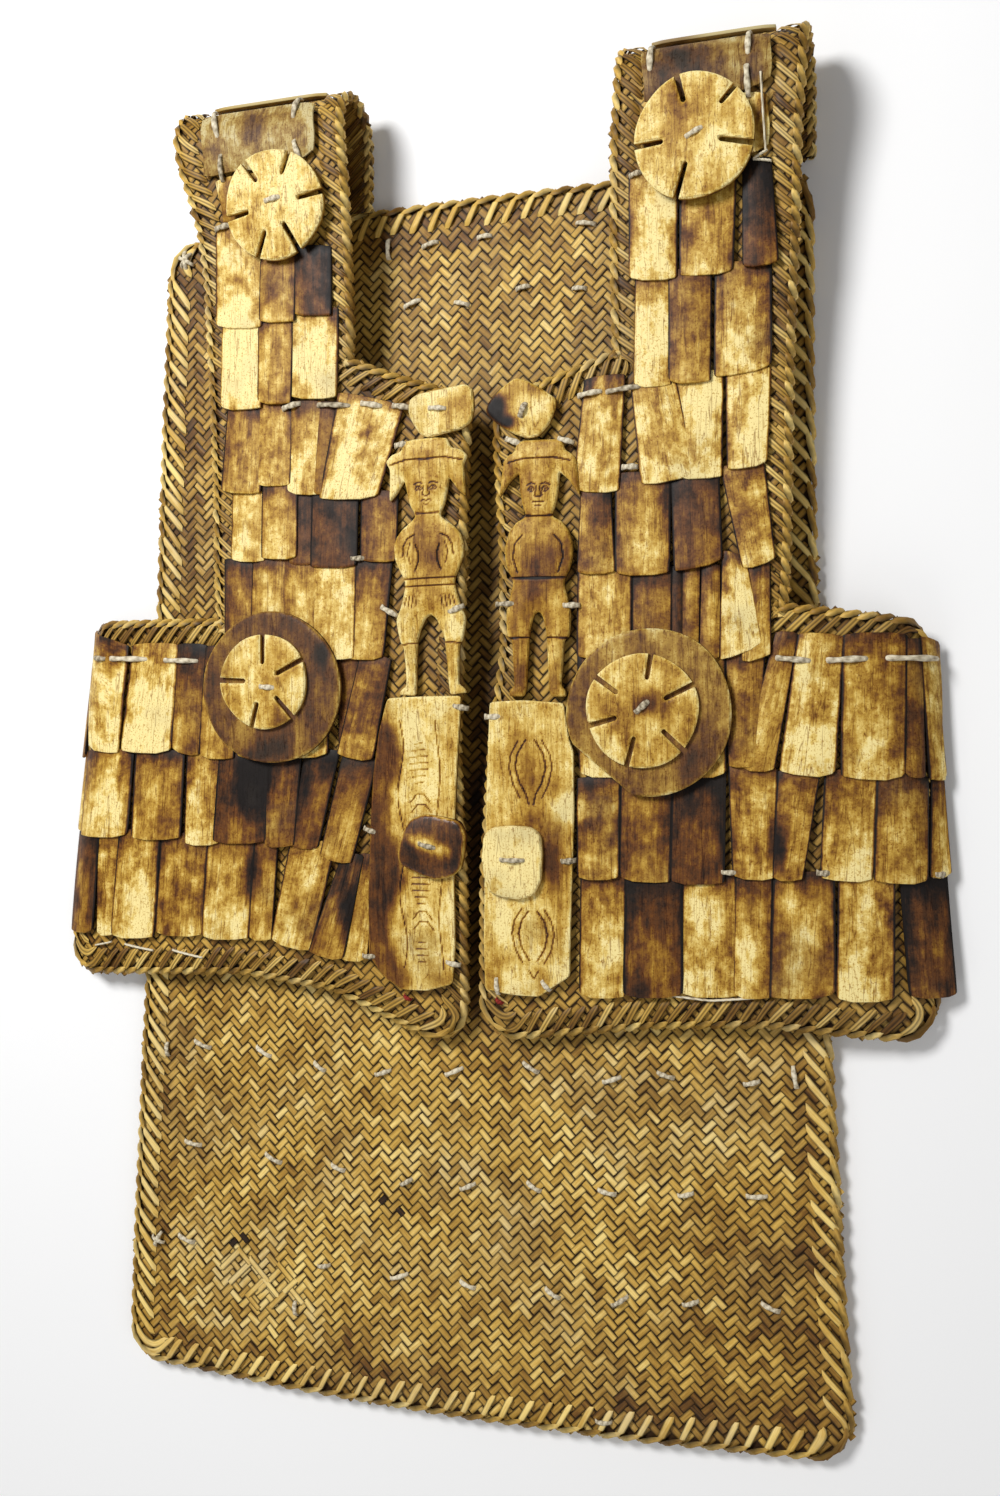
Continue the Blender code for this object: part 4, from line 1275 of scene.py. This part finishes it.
def slotted(radius, loop, slots, wide):
    angles = np.degrees(np.arctan2(loop[:, 1], loop[:, 0])) % 360
    outline, used = [], set()
    for index in np.argsort(angles):
        blocked = False
        for angle, inner in sorted(slots, key=lambda slot: slot[0] % 360):
            off = (angles[index] - angle + 180) % 360 - 180
            if abs(math.sin(math.radians(off)) * radius) < wide * 0.65 and abs(off) < 90:
                blocked = True
                if angle not in used:
                    used.add(angle)
                    outline += slotMouth(np.linalg.norm(loop[index]), angle, inner, wide / 2)
        if not blocked:
            outline.append(loop[index])
    return np.array(outline)


discFinish = boneMaterial("discBone", False, wear=0.2, stain=0.7)
sideDiscFinish = boneMaterial("sideDiscBone", False, wear=0.25, stain=0.75, cool=0.38)

discTable = [
    {"name": "left_strap_disc", "s": 124, "v": 338, "radius": 32.6, "level": 8.0, "thick": 4.6, "wide": 3.2,
        "tone": 0.13, "seed": 1.3, "dome": 0.9,
        "slots": [(124.6, 17.5), (68.2, 18), (7.8, 16), (-61.9, 12.7), (-113, 15.9), (-170.7, 16.7)]},
    {"name": "right_strap_disc", "s": 136, "v": 346, "radius": 34, "level": 8.0, "thick": 5.0, "wide": 3.0,
        "tone": 0.16, "tilt": (0.04, -0.04), "seed": 2.7, "dome": 0.8,
        "slots": [(104.9, 19), (45, 21.4), (-13.5, 14.4), (-108.4, 14.1), (-177, 17.2)]},
    {"name": "left_side_disc", "s": 135, "v": 41, "radius": 47.5, "level": 7.4, "thick": 3.4, "tone": 0.55,
        "seed": 3.1, "dome": 0.9},
    {"name": "right_side_disc", "s": 106, "v": 24, "radius": 48.5, "level": 7.4, "thick": 3.6, "tone": 0.43,
        "seed": 4.9, "dome": 0.9, "flatCut": (-130, 43)},
    {"name": "left_slotted_disc", "s": 138, "v": 45, "radius": 29.6, "level": 11.4, "thick": 3.8, "wide": 3.0,
        "tone": 0.14, "seed": 5.2, "dome": 0.8,
        "slots": [(90, 10.7), (26.6, 9.9), (-48.4, 12.4), (-107, 13.5), (177.5, 11.9)]},
    {"name": "right_slotted_disc", "s": 103, "v": 25, "radius": 33, "level": 11.4, "thick": 3.4, "wide": 2.8,
        "tone": 0.2, "seed": 6.4, "dome": 0.8,
        "slots": [(80, 17.9), (26, 14.7), (-43.5, 16.3), (-106, 15.5), (-164.7, 15), (144, 17.1)]},
]

for entry in discTable:
    radius, dome = entry["radius"], entry["dome"]
    loop = ringLoop(radius, entry["seed"], entry.get("flatCut"))
    if "slots" in entry:
        loop = slotted(radius, loop, entry["slots"], entry["wide"])

    def domed(flat, radius=radius, dome=dome):
        return dome * (1 - np.clip(np.linalg.norm(flat, axis=1) / radius, 0, 1) ** 2)

    made = carvedSlab(entry["name"] + "_bone", {
        **entry, "loop": loop, "grid": 1.6, "round": 0.9, "dome": domed,
        "finish": sideDiscFinish if "side_disc" in entry["name"] else discFinish,
    })
    finishPiece(made, entry["name"])
print("discs cut")


# Carved figures, long plates and toggles
carvedFinish = boneMaterial("carvedBone", False, stain=0.62, wear=0.14)


def bothSides(half):
    return [(-x, y) for x, y in reversed(half) if x > 0] + list(half)


def mirroredStrokes(strokes):
    mirrored = [(wide, deep, [(-x, y) for x, y in run]) for wide, deep, run in strokes]
    return [one for pair in zip(strokes, mirrored) for one in pair]


def faceStrokes(x, foot, crown, half):
    tall = crown - foot
    eye, width = foot + 0.44 * tall, half * 0.4
    near, far, middle = x + width * 0.5, x + width * 1.5, x + width
    line = 0.13 * tall / 4
    strokes = [
        (0.9, 0.5, [(near, eye), (near + width * 0.3, eye + line * 1.5), (far - width * 0.3, eye + line * 1.5),
                (far, eye)]),
        (0.8, 0.35, [(near, eye), (near + width * 0.35, eye - line), (far - width * 0.3, eye - line), (far, eye)]),
        (1.5, 0.5, [(middle, eye + 0.1), (middle, eye + 0.3)]),
        (1.1, 0.4, [(near - 0.3, eye + 3.2), (middle, eye + 4.1), (far + 0.8, eye + 2.8)]),
        (0.9, 0.5, [(x + 1.2, eye + 2.0), (x + 1.5, foot + 0.42 * tall), (x + 2.5, foot + 0.335 * tall),
                (x + 1.5, foot + 0.31 * tall), (x, foot + 0.3 * tall)]),
        (0.9, 0.55, [(x, foot + 0.205 * tall), (x + 1.4, foot + 0.22 * tall), (x + half * 0.3, foot + 0.21 * tall)]),
        (0.9, 0.3, [(x, foot + 0.135 * tall), (x + half * 0.16, foot + 0.145 * tall)]),
    ]
    return mirroredStrokes(strokes)


figures = [
    {
        "name": "left_carved_figure", "s": 29, "v": 113, "scale": (0.93, 0.98), "turn": 1, "tone": 0.2, "seed": 3.7,
        "half": [(8, 79), (15, 78), (17, 72.5), (24, 70.5), (28.5, 66.5), (25.5, 61), (26, 52), (26.5, 41.5),
            (21, 46.5), (15.5, 54), (13.5, 44), (12, 38), (9.5, 34), (8.5, 31), (13, 27.5), (18, 24), (22.5, 19),
            (24.3, 13),
                 (24, 6), (21, -1), (17.8, -7), (17, -10), (18.5, -17), (21, -25), (24.3, -32), (23.2, -39.5),
                 (21.4, -47), (19.6, -48), (18.6, -60), (18.2, -73), (22, -75.5), (24, -78.5),
                 (12, -79.5), (11.3, -73), (10.4, -58), (9.4, -45), (7.2, -38.5), (3.5, -31.5), (0, -29.4)],
        "face": (0, 34, 66, 12.5),
        "strokes": [
            (1.1, 0.6, [(0, 66), (13, 66.6), (25, 64)]),
            (1.0, 0.5, [(0, 33), (8, 33.2)]),
            (1.1, 0.55, [(9, 20), (14, 18), (17, 13), (17.6, 7)]),
            (1.1, 0.55, [(8.5, 14), (6.6, 9), (6.8, 3), (9, -2)]),
            (0.9, 0.35, [(12, 15), (14, 9), (12.4, 2)]),
            (1.1, 0.6, [(0, -7), (17.5, -6.8)]),
            (1.1, 0.6, [(0, -11.6), (17, -11.4)]),
            (0.9, 0.4, [(8.4, -18), (9.4, -24)]),
            (0.9, 0.4, [(11, -17), (12.2, -25)]),
            (0.9, 0.4, [(13.6, -17.4), (15, -24.4)]),
            (0.9, 0.4, [(16, -18.4), (17.4, -23.4)]),
            (1.0, 0.5, [(9.6, -46.6), (20.6, -47.6)]),
        ],
    },
    {
        "name": "right_carved_figure", "s": 40, "v": 110, "scale": (0.92, 0.96), "turn": -1, "tone": 0.34,
        "seed": 8.2,
        "half": [(10, 78), (15, 77), (17, 71), (21, 69), (24, 66), (25, 58), (27, 43), (19.5, 53), (13.5, 58),
            (12.6, 46), (11, 38), (9, 33), (8.8, 31), (15, 28), (20, 22), (22.6, 14),
                 (22.6, 5), (20.5, -2), (17.5, -7), (17, -10), (19.5, -19), (21.6, -28), (21.4, -36), (20.6, -43),
                 (17.6, -44.4), (16.8, -58), (15.7, -73), (19, -76), (19.5, -79.5),
                 (9, -79.5), (7.5, -75), (6.8, -60), (6, -45), (5, -37), (2.6, -29), (0, -27)],
        "face": (0, 33, 66, 11.5),
        "strokes": [
            (1.1, 0.6, [(0, 67), (12, 66.4), (21, 64.5)]),
            (1.2, 0.7, [(0, 31.4), (9, 31.8)]),
            (1.1, 0.5, [(10.5, 20), (15.5, 14.5), (16.8, 6), (13.6, -3)]),
            (1.3, 0.7, [(0, -6.6), (17.4, -6.4)]),
            (1.2, 0.7, [(5.6, -43), (19.8, -43.6)]),
        ],
    },
]

for entry in figures:
    stretch, tall = entry["scale"]
    loop = np.array(bothSides(entry["half"]), float)[::-1]
    loop = roundedPath(loop, True, 1.5, 1) * entry["scale"]
    strokes = mirroredStrokes(entry["strokes"]) + faceStrokes(*entry["face"])
    strokes = [(wide, deep, [(x * stretch, y * tall) for x, y in run]) for wide, deep, run in strokes]
    foot, crown = entry["face"][1] * tall, entry["face"][2] * tall

    def raised(flat, loop=loop, foot=foot, crown=crown):
        swell = 1.3 * (1 - np.exp(-((distanceTo(flat, loop) / 6.0) ** 2)))
        tip, root = foot + 0.3 * (crown - foot), foot + 0.62 * (crown - foot)
        within = np.clip((flat[:, 1] - tip) / 2, 0, 1) * np.clip((root - flat[:, 1]) / 5, 0, 1)
        return swell + 0.7 * np.exp(-((flat[:, 0] / 1.7) ** 2)) * within

    tone = entry["tone"]
    made = carvedSlab(entry["name"] + "_bone", {
        **entry, "loop": loop, "grid": 0.75, "level": 4.6, "thick": 3.4, "round": 1.5, "strokes": strokes,
        "dome": raised, "finish": carvedFinish,
        "tone": lambda flat, tone=tone: tone + 0.25 * spot(flat, (2, 8), (10, 12)) + 0.2 * spot(flat, (-8, -62),
            (9, 14)),
    })
    finishPiece(made, entry["name"])
print("figures carved")


def waves(x, low, high, size, count, phase=0.0):
    return [(x + size * math.sin(phase + math.pi * 2 * count * k / 40),
            low + (high - low) * k / 40) for k in range(41)]


def ladder(x, low, half, count, gap):
    rungs = []
    for k in range(count):
        reach, y = half * math.sin(math.pi * (k + 1) / (count + 1)), low + k * gap
        rungs.append((0.9, 0.35, [(x - reach, y), (x + reach, y + 0.4)]))
    return rungs


longPlates = [
    {
        "name": "left_long_plate", "s": 37, "v": -56, "seed": 5.6,
        "loop": [(-20, 90), (6, 91), (28, 91), (27, 79), (25, 57), (22.5, 20), (21, -15), (21, -60), (19, -85),
            (2, -90), (-14, -90), (-26, -83), (-36, -70), (-35.5, -30), (-33, 13), (-30.5, 43), (-26, 70)],
        "tone": lambda flat: 0.12 + 0.5 * np.clip((-12 - flat[:, 0] - 5 * np.sin(flat[:, 1] / 11)) / 9, 0,
            1) + 0.2 * spot(flat, (12, -80), (18, 10)),
        "strokes": [
            (0.9, 0.4, waves(-12, -76, 76, 2.2, 2.5)),
            (0.9, 0.4, waves(12.5, -76, 76, 1.2, 2.5, 1.6)),
            *ladder(0, 38, 6, 7, 4), *ladder(0, -36, 6, 7, 4), *ladder(0, -72, 4, 4, 4),
            *[(0.9, 0.4, [(-6 + shift, base), (-2 + shift, base + 5), (3 + shift, base + 5),
                        (7 + shift, base)]) for base, shift in ((26, 0), (20, 0.6), (-46, 0), (-52, 0.6))],
        ],
    },
    {
        "name": "right_long_plate", "s": 34, "v": -58, "seed": 9.1,
        "loop": [(-25, 89), (-5, 90), (21, 88), (24, 66), (26.5, 59), (26, 17), (24, -25), (22, -75), (11, -82),
            (3, -88), (-15, -87.5), (-31, -85), (-31.5, -56), (-29.5, 2), (-27.5, 45)],
        "tone": lambda flat: 0.2 + 0.38 * spot(flat, (0, 44), (9, 26)) + 0.2 * spot(flat, (12, -10), (10, 30)),
        "strokes": [
            *mirroredStrokes([
                (1.2, 0.55, [(3, 66), (8, 58), (9.5, 50), (7, 41), (3, 34), (1.5, 28)]),
                (1.0, 0.45, [(7.4, 66), (12, 58), (13.4, 50), (11, 40), (7, 32)]),
                (1.2, 0.55, [(2.5, -36), (7, -42), (9, -50), (7, -59), (2.5, -66)]),
                (1.0, 0.45, [(7, -35), (11.5, -42), (13.2, -50), (11, -60), (6.4, -68)]),
            ]),
            (1.0, 0.45, [(-3, -72), (0, -77), (3, -72)]),
        ],
    },
]

for entry in longPlates:
    loop = roundedPath(np.array(entry["loop"], float)[::-1], True, 2.0, 1)
    made = carvedSlab(entry["name"] + "_bone", {
        **entry, "loop": loop, "grid": 0.8, "level": 4.6, "thick": 2.6, "round": 0.7, "finish": carvedFinish,
        "dome": lambda flat: 0.5 * (1 - (flat[:, 0] / 34) ** 2) - 0.35 * np.exp(-(((flat[:, 0] - 2) / 5) ** 2)),
    })
    finishPiece(made, entry["name"])

toggles = [
    {
        "name": "left_neck_toggle", "s": 21, "v": 211, "level": 4.8, "thick": 3.8, "seed": 1.9, "bulge": 0.7,
        "slotName": "carved_bone",
        "loop": [(-20, -5), (-19.5, 3), (-14, 6), (2, 8), (17, 10), (21, 7), (22, -4), (20, -13), (14, -16.5),
            (3, -18.5), (-8, -20.5), (-13, -18), (-18, -10)],
        "tone": lambda flat: 0.02 + 0.3 * spot(flat, (12, -2), (9, 9)),
    },
    {
        "name": "right_neck_toggle", "s": 30, "v": 208, "level": 4.8, "thick": 3.8, "seed": 7.4, "bulge": 0.7,
        "slotName": "carved_bone",
        "loop": [(-22, -5), (-20, 1), (-11, 9), (-3, 14), (3, 12.5), (13, 6.5), (22, 0), (21.5, -6), (17, -15),
            (11, -21), (4, -22), (-4, -19), (-15, -12)],
        "tone": lambda flat: 0.16 + 1.2 * spot(flat, (-15, -3), (7, 8)) + 0.9 * spot(flat, (-8, -12),
            (6, 4)) + 0.2 * spot(flat, (4, 6), (8, 4)),
    },
    {
        "name": "horn_toggle", "s": 29, "v": -57, "level": 7.8, "thick": 3.4, "seed": 2.8, "bulge": 3.0,
        "slotName": "horn",
        "loop": [(-13, 17), (-4, 20.5), (7, 19), (19, 16.5), (23, 8), (21.5, -3), (19, -13), (12, -18), (2, -19.5),
            (-9, -15.5), (-20, -10), (-20.5, -3), (-18, 9)],
        # A pale band along the crest of the horn: partly wear, partly painted highlight
        "tone": lambda flat: 0.68 - 0.55 * spot(flat @ np.array([[0.96, 0.26], [-0.26, 0.96]]), (-1, 2), (16, 4.2)),
    },
    {
        "name": "square_toggle", "s": 22, "v": -66, "level": 7.8, "thick": 4.2, "seed": 6.6, "bulge": 0.6,
        "slotName": "carved_bone",
        "loop": [(-17, 17), (-12, 22), (0, 23.5), (13, 22.5), (18.5, 18), (19.5, 6), (18.5, -9), (14, -18), (5, -21),
            (-6, -20), (-14.5, -17), (-17, -8), (-18.5, 3)],
        "tone": lambda flat: -0.06 + 0.25 * spot(flat, (-12, -13), (5, 5)) + 0.15 * spot(flat, (9, 6), (4, 6)),
    },
]
hornFinish = boneMaterial("toggleHorn", False, stain=0.9, wear=0.5, coat=0.2)

for entry in toggles:
    loop = roundedPath(np.array(entry["loop"], float)[::-1], True, 1.6, 2)
    horn = entry["slotName"] == "horn"

    def bulged(flat, bulge=entry["bulge"], horn=horn):
        across = flat @ np.array([-0.26, 0.96]) if horn else np.linalg.norm(flat, axis=1)
        return bulge * (1 - np.clip(np.abs(across) / 21, 0, 1) ** 2)

    made = carvedSlab(entry["name"] + "_piece", {**entry, "loop": loop, "grid": 1.1, "round": 1.3, "dome": bulged,
            "finish": hornFinish if horn else carvedFinish})
    finishPiece(made, entry["name"])
print("long plates and toggles cut")

# Cord stitches: one short arch of two-ply twine, laid wherever a piece is sewn on
twine = {"wide": 3.1, "rise": 1.5, "dip": 1.4, "lobe": 0.16, "turns": 1.6}


def twineMaster(steps, rise, dip, turns):
    made = unitGrid(8, steps)
    half = twine["wide"] / 2
    for vertex in made.data.vertices:
        x, y = vertex.co.x, vertex.co.y
        angle = -2 * math.pi * x
        reach = 1 + twine["lobe"] * math.cos(2 * (angle + turns * math.pi * y))
        lift = (rise + dip) * math.sin(math.pi * min(max(y, 0), 1)) ** 0.5 - dip
        vertex.co = (0.5 + 0.5 * reach * math.cos(angle), y, lift + half * 0.75 * reach * math.sin(angle))
    bpy.ops.object.mode_set(mode="EDIT")
    bpy.ops.mesh.select_all(action="SELECT")
    bpy.ops.mesh.remove_doubles(threshold=0.0001)
    bpy.ops.mesh.fill_holes(sides=0)
    bpy.ops.mesh.normals_make_consistent(inside=False)
    bpy.ops.object.mode_set(mode="OBJECT")
    master = takeMaster(made)
    x, y = master["points"][:, :2].T
    return {**master, "edge": np.clip(0.5 + 0.5 * np.sin(y * turns * 2 * math.pi * 2 + x * 3), 0, 1)}


def twineMaterial(name, shades):
    made, tree, shader = newMaterial(name, specular=0.15, rough=0.85)
    seed, edge, tone = (attributeOf(tree, word) for word in ("seed", "edge", "tone"))
    grainOut = placeGroup(tree, grain, Vector=fibrePlace(tree), Seed=seed, Across=1500.0, Along=500.0)
    ply = worked(tree, "MULTIPLY_ADD", edge, 0.5, worked(tree, "MULTIPLY", grainOut["Streaks"], 0.6))
    tree.links.new(ramp(tree, worked(tree, "ADD", ply, tone), shades), shader.inputs["Base Color"])
    bumped(tree, shader, grainOut["Streaks"], 0.7, 0.0004)
    return made


twineFinish = twineMaterial("paleTwine", [(0.2, (0.13, 0.10, 0.06)), (0.5, (0.46, 0.39, 0.27)),
        (0.8, (0.78, 0.70, 0.52))])
redFinish = twineMaterial("redThread", [(0.2, (0.10, 0.01, 0.008)), (0.8, (0.36, 0.04, 0.03))])
stitchMaster = twineMaster(10, twine["rise"], twine["dip"], twine["turns"])
threadMaster = twineMaster(16, 0.3, 0.5, 6.0)


def stitchQuads(stitches, wide):
    quads = []
    for x1, y1, x2, y2 in stitches:
        a, b = np.array([x1, y1], float), np.array([x2, y2], float)
        run = (b - a) / np.linalg.norm(b - a)
        right = np.array([run[1], -run[0]]) * wide / 2
        quads.append([a - right, a + right, b + right, b - right])
    return quads


# On the fronts, as side, s and v of both ends, and the height that each is drawn over
frontStitches = [
    (-1, 130, 340, 118, 342, 13.2), (1, 131, 345, 142, 350, 13.4), (-1, 141, 42, 129, 41, 15.4),
    (1, 99, 23, 108, 31, 15.0),
    (-1, 28, 208, 16, 207, 9.6), (1, 30, 198, 34, 207, 9.6), (1, 15, -63, 31, -63, 13.0), (-1, 37, -54, 24, -57,
        13.6),
    (-1, 61, 90, 50, 84, 7.4), (-1, 18, 84, 7, 89, 7.4), (-1, 51, 187, 42, 188, 6.8), (1, 13, 89, 26, 89, 7.4),
    (1, 54, 87, 65, 87, 7.4), (1, 20, 187, 30, 183, 6.8), (1, 52, 185, 62, 182, 6.8),
    (-1, 16, 29, 5, 27, 6.8), (-1, 78, -126, 68, -126, 6.6), (-1, 23, -127, 13, -129, 6.8), (-1, 75, -46, 66, -49,
        6.6), (1, 5, 22, 17, 22, 6.8), (1, 51, -64, 61, -63, 6.8), (1, 10, -134, 11, -146, 6.8),
    (1, 38, -135, 44, -142, 6.8),
    (-1, 168, 400, 162, 382, 5.4), (-1, 109, 401, 111, 387, 5.4), (-1, 161, 374, 161, 357, 5.4),
    (-1, 111, 376, 107, 364, 5.4), (-1, 169, 329, 157, 331, 5.0),
    (1, 111, 399, 111, 384, 5.6), (1, 166, 399, 166, 385, 5.6), (1, 165, 382, 166, 364, 5.6), (1, 97, 330, 105, 332,
        4.6),
    (-1, 127, 215, 114, 218, 5.2), (-1, 103, 216, 80, 214, 5.2), (-1, 74, 215, 59, 212, 5.4), (-1, 53, 212, 41, 210,
        5.2), (-1, 82, 120, 71, 120, 5.2),
    (1, 64, 209, 79, 211, 5.2), (1, 81, 210, 102, 212, 5.4), (1, 90, 166, 100, 166, 5.2),
    (-1, 272, 63, 261, 62, 5.2), (-1, 257, 62, 226, 61, 5.2), (-1, 215, 60, 189, 59, 5.2), (1, 178, 54, 198, 52, 5.2),
    (1, 205, 52, 228, 53, 5.2), (1, 237, 53, 269, 53, 5.2),
    (1, 146, -68, 156, -68, 5.2), (1, 200, -67, 208, -67, 5.2), (1, 262, -68, 271, -68, 5.2),
]
frontThreads = [(1, 173, 376, 175, 334, 6.4), (1, 176, 335, 168, 331, 6.2), (1, 168, 331, 178, 329, 5.8),
    (1, 114, -141, 140, -143, 4.6), (1, 139, -143, 166, -140, 4.6), (-1, 275, -129, 262, -126, 3.6),
    (-1, 251, -127, 229, -130, 3.6), (-1, 214, -129, 192, -133, 3.6)]

# On the back's inner face, sewing on the rows of plates that lie under it
backStitches = [
    (-56, 319, 90), (-28, 319, 15), (8, 320, 5), (73, 321, 170), (-40, 283, 20), (-7, 280, 165), (33, 286, 10),
    (69, 282, 175),
    (-215, -198, 95), (-189, -193, 160), (-144, -195, 150), (-104, -202, 145), (-60, -203, 20), (-12, -199, 25),
    (38, -193, 150), (89, -197, 20), (122, -192, 165), (173, -193, 15), (198, -188, 100),
    (-196, -259, 170), (-137, -264, 155), (-91, -266, 160), (-44, -271, 30), (-3, -270, 25), (40, -266, 150),
    (86, -265, 170), (134, -262, 15), (176, -259, 5),
    (-201, -323, 160), (-101, -330, 10), (-49, -331, 20), (-3, -331, 160), (52, -330, 150), (94, -330, 35),
    (137, -326, 20), (184, -323, 160), (-121, -360, 95), (84, -404, 5),
]
redStitches = [(-1, 52, -150, 47, -153, 3.4), (1, 8, -149, 13, -152, 3.4)]


def laidStitches(name, rows, master, wide, finish, toneOf=0.0):
    pieces = []
    for side, s1, v1, s2, v2, high in rows:
        ends = (form["frontCentre"] + side * s1, v1, form["frontCentre"] + side * s2, v2)
        quads = stitchQuads([ends], wide * (0.9 + 0.25 * dice.random()))
        tall, tone = 0.9 + 0.2 * dice.random(), toneOf + 0.3 * dice.random() - 0.15
        pieces.append(spread(name, master, quads, onFront, high, tall=tall, tone=[tone], finish=finish))
    return joined(name, pieces)


def runAcross(x, y, angle, half):
    run = wayOf(angle) * half
    return (x - run[0], y - run[1], x + run[0], y + run[1])


acrossBack = [runAcross(x, y, angle, 4.6 + 2.2 * dice.random()) for x, y, angle in backStitches]
quads, tone = stitchQuads(acrossBack, 2.8), 0.25 * dice.random(len(acrossBack))
backTwine = spread("back_stitches", stitchMaster, quads, onBack, 1.9, tone=tone, finish=twineFinish)
# A darned patch near the lower left corner, with two small holes in the plaiting beside it drawn as near-black
# strips: painted shade inside the holes
darnsAndHoles = [
    (-168, -333, 45, 19, 0.1), (-161, -341, 45, 22, 0.05), (-150, -350, 45, 17, 0.15), (-140, -344, 45, 21, 0.1),
    (-134, -356, 45, 15, 0.2), (-126, -347, 45, 14, 0.05),
    (-158, -330, -45, 13, 0.2), (-147, -338, -45, 20, 0.1), (-138, -349, -45, 18, 0.0), (-128, -338, -45, 16, 0.25),
    (-120, -352, -45, 12, 0.05), (-152, -359, -45, 13, 0.2),
    # The last four near-black strips stand for the two holes: painted shade inside them
    (-166, -322, 45, 6, 1.1), (-158, -318, -45, 7, 1.1), (-60, -284, 45, 6, 1.1), (-48, -290, -45, 6, 1.0),
]
quads = stitchQuads([runAcross(x, y, angle, long / 2) for x, y, angle, long, tone in darnsAndHoles], 4.0)
lift, tone = 1.5 + 0.5 * dice.random(len(darnsAndHoles)), [entry[4] for entry in darnsAndHoles]
darnAndHoleStrips = spread("back_darning_and_holes", floatMaster, quads, onBack, lift, tone=tone, finish=plaitFinish)
darnAndHoleStrips.data.shade_flat()
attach(darnAndHoleStrips, "root")
knotRuns = [(-204, 322, -196, 331), (-206, 329, -195, 323), (-200, 320, -201, 333), (-226, -323, -217, -327),
    (-224, -330, -219, -320)]
quads, tone = stitchQuads(knotRuns, 2.6), 0.2 * dice.random(len(knotRuns))
knotTwine = spread("edge_knots", stitchMaster, quads, onBack, 3.6, tone=tone, finish=twineFinish)
for piece in (
    laidStitches("front_stitches", frontStitches, stitchMaster, twine["wide"], twineFinish),
    laidStitches("front_threads", frontThreads, threadMaster, 1.3, twineFinish, 0.3),
    laidStitches("red_stitches", redStitches, stitchMaster, 2.6, redFinish),
    joined("back_stitches", [backTwine, knotTwine]),
):
    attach(piece, "root")
print("stitches sewn")
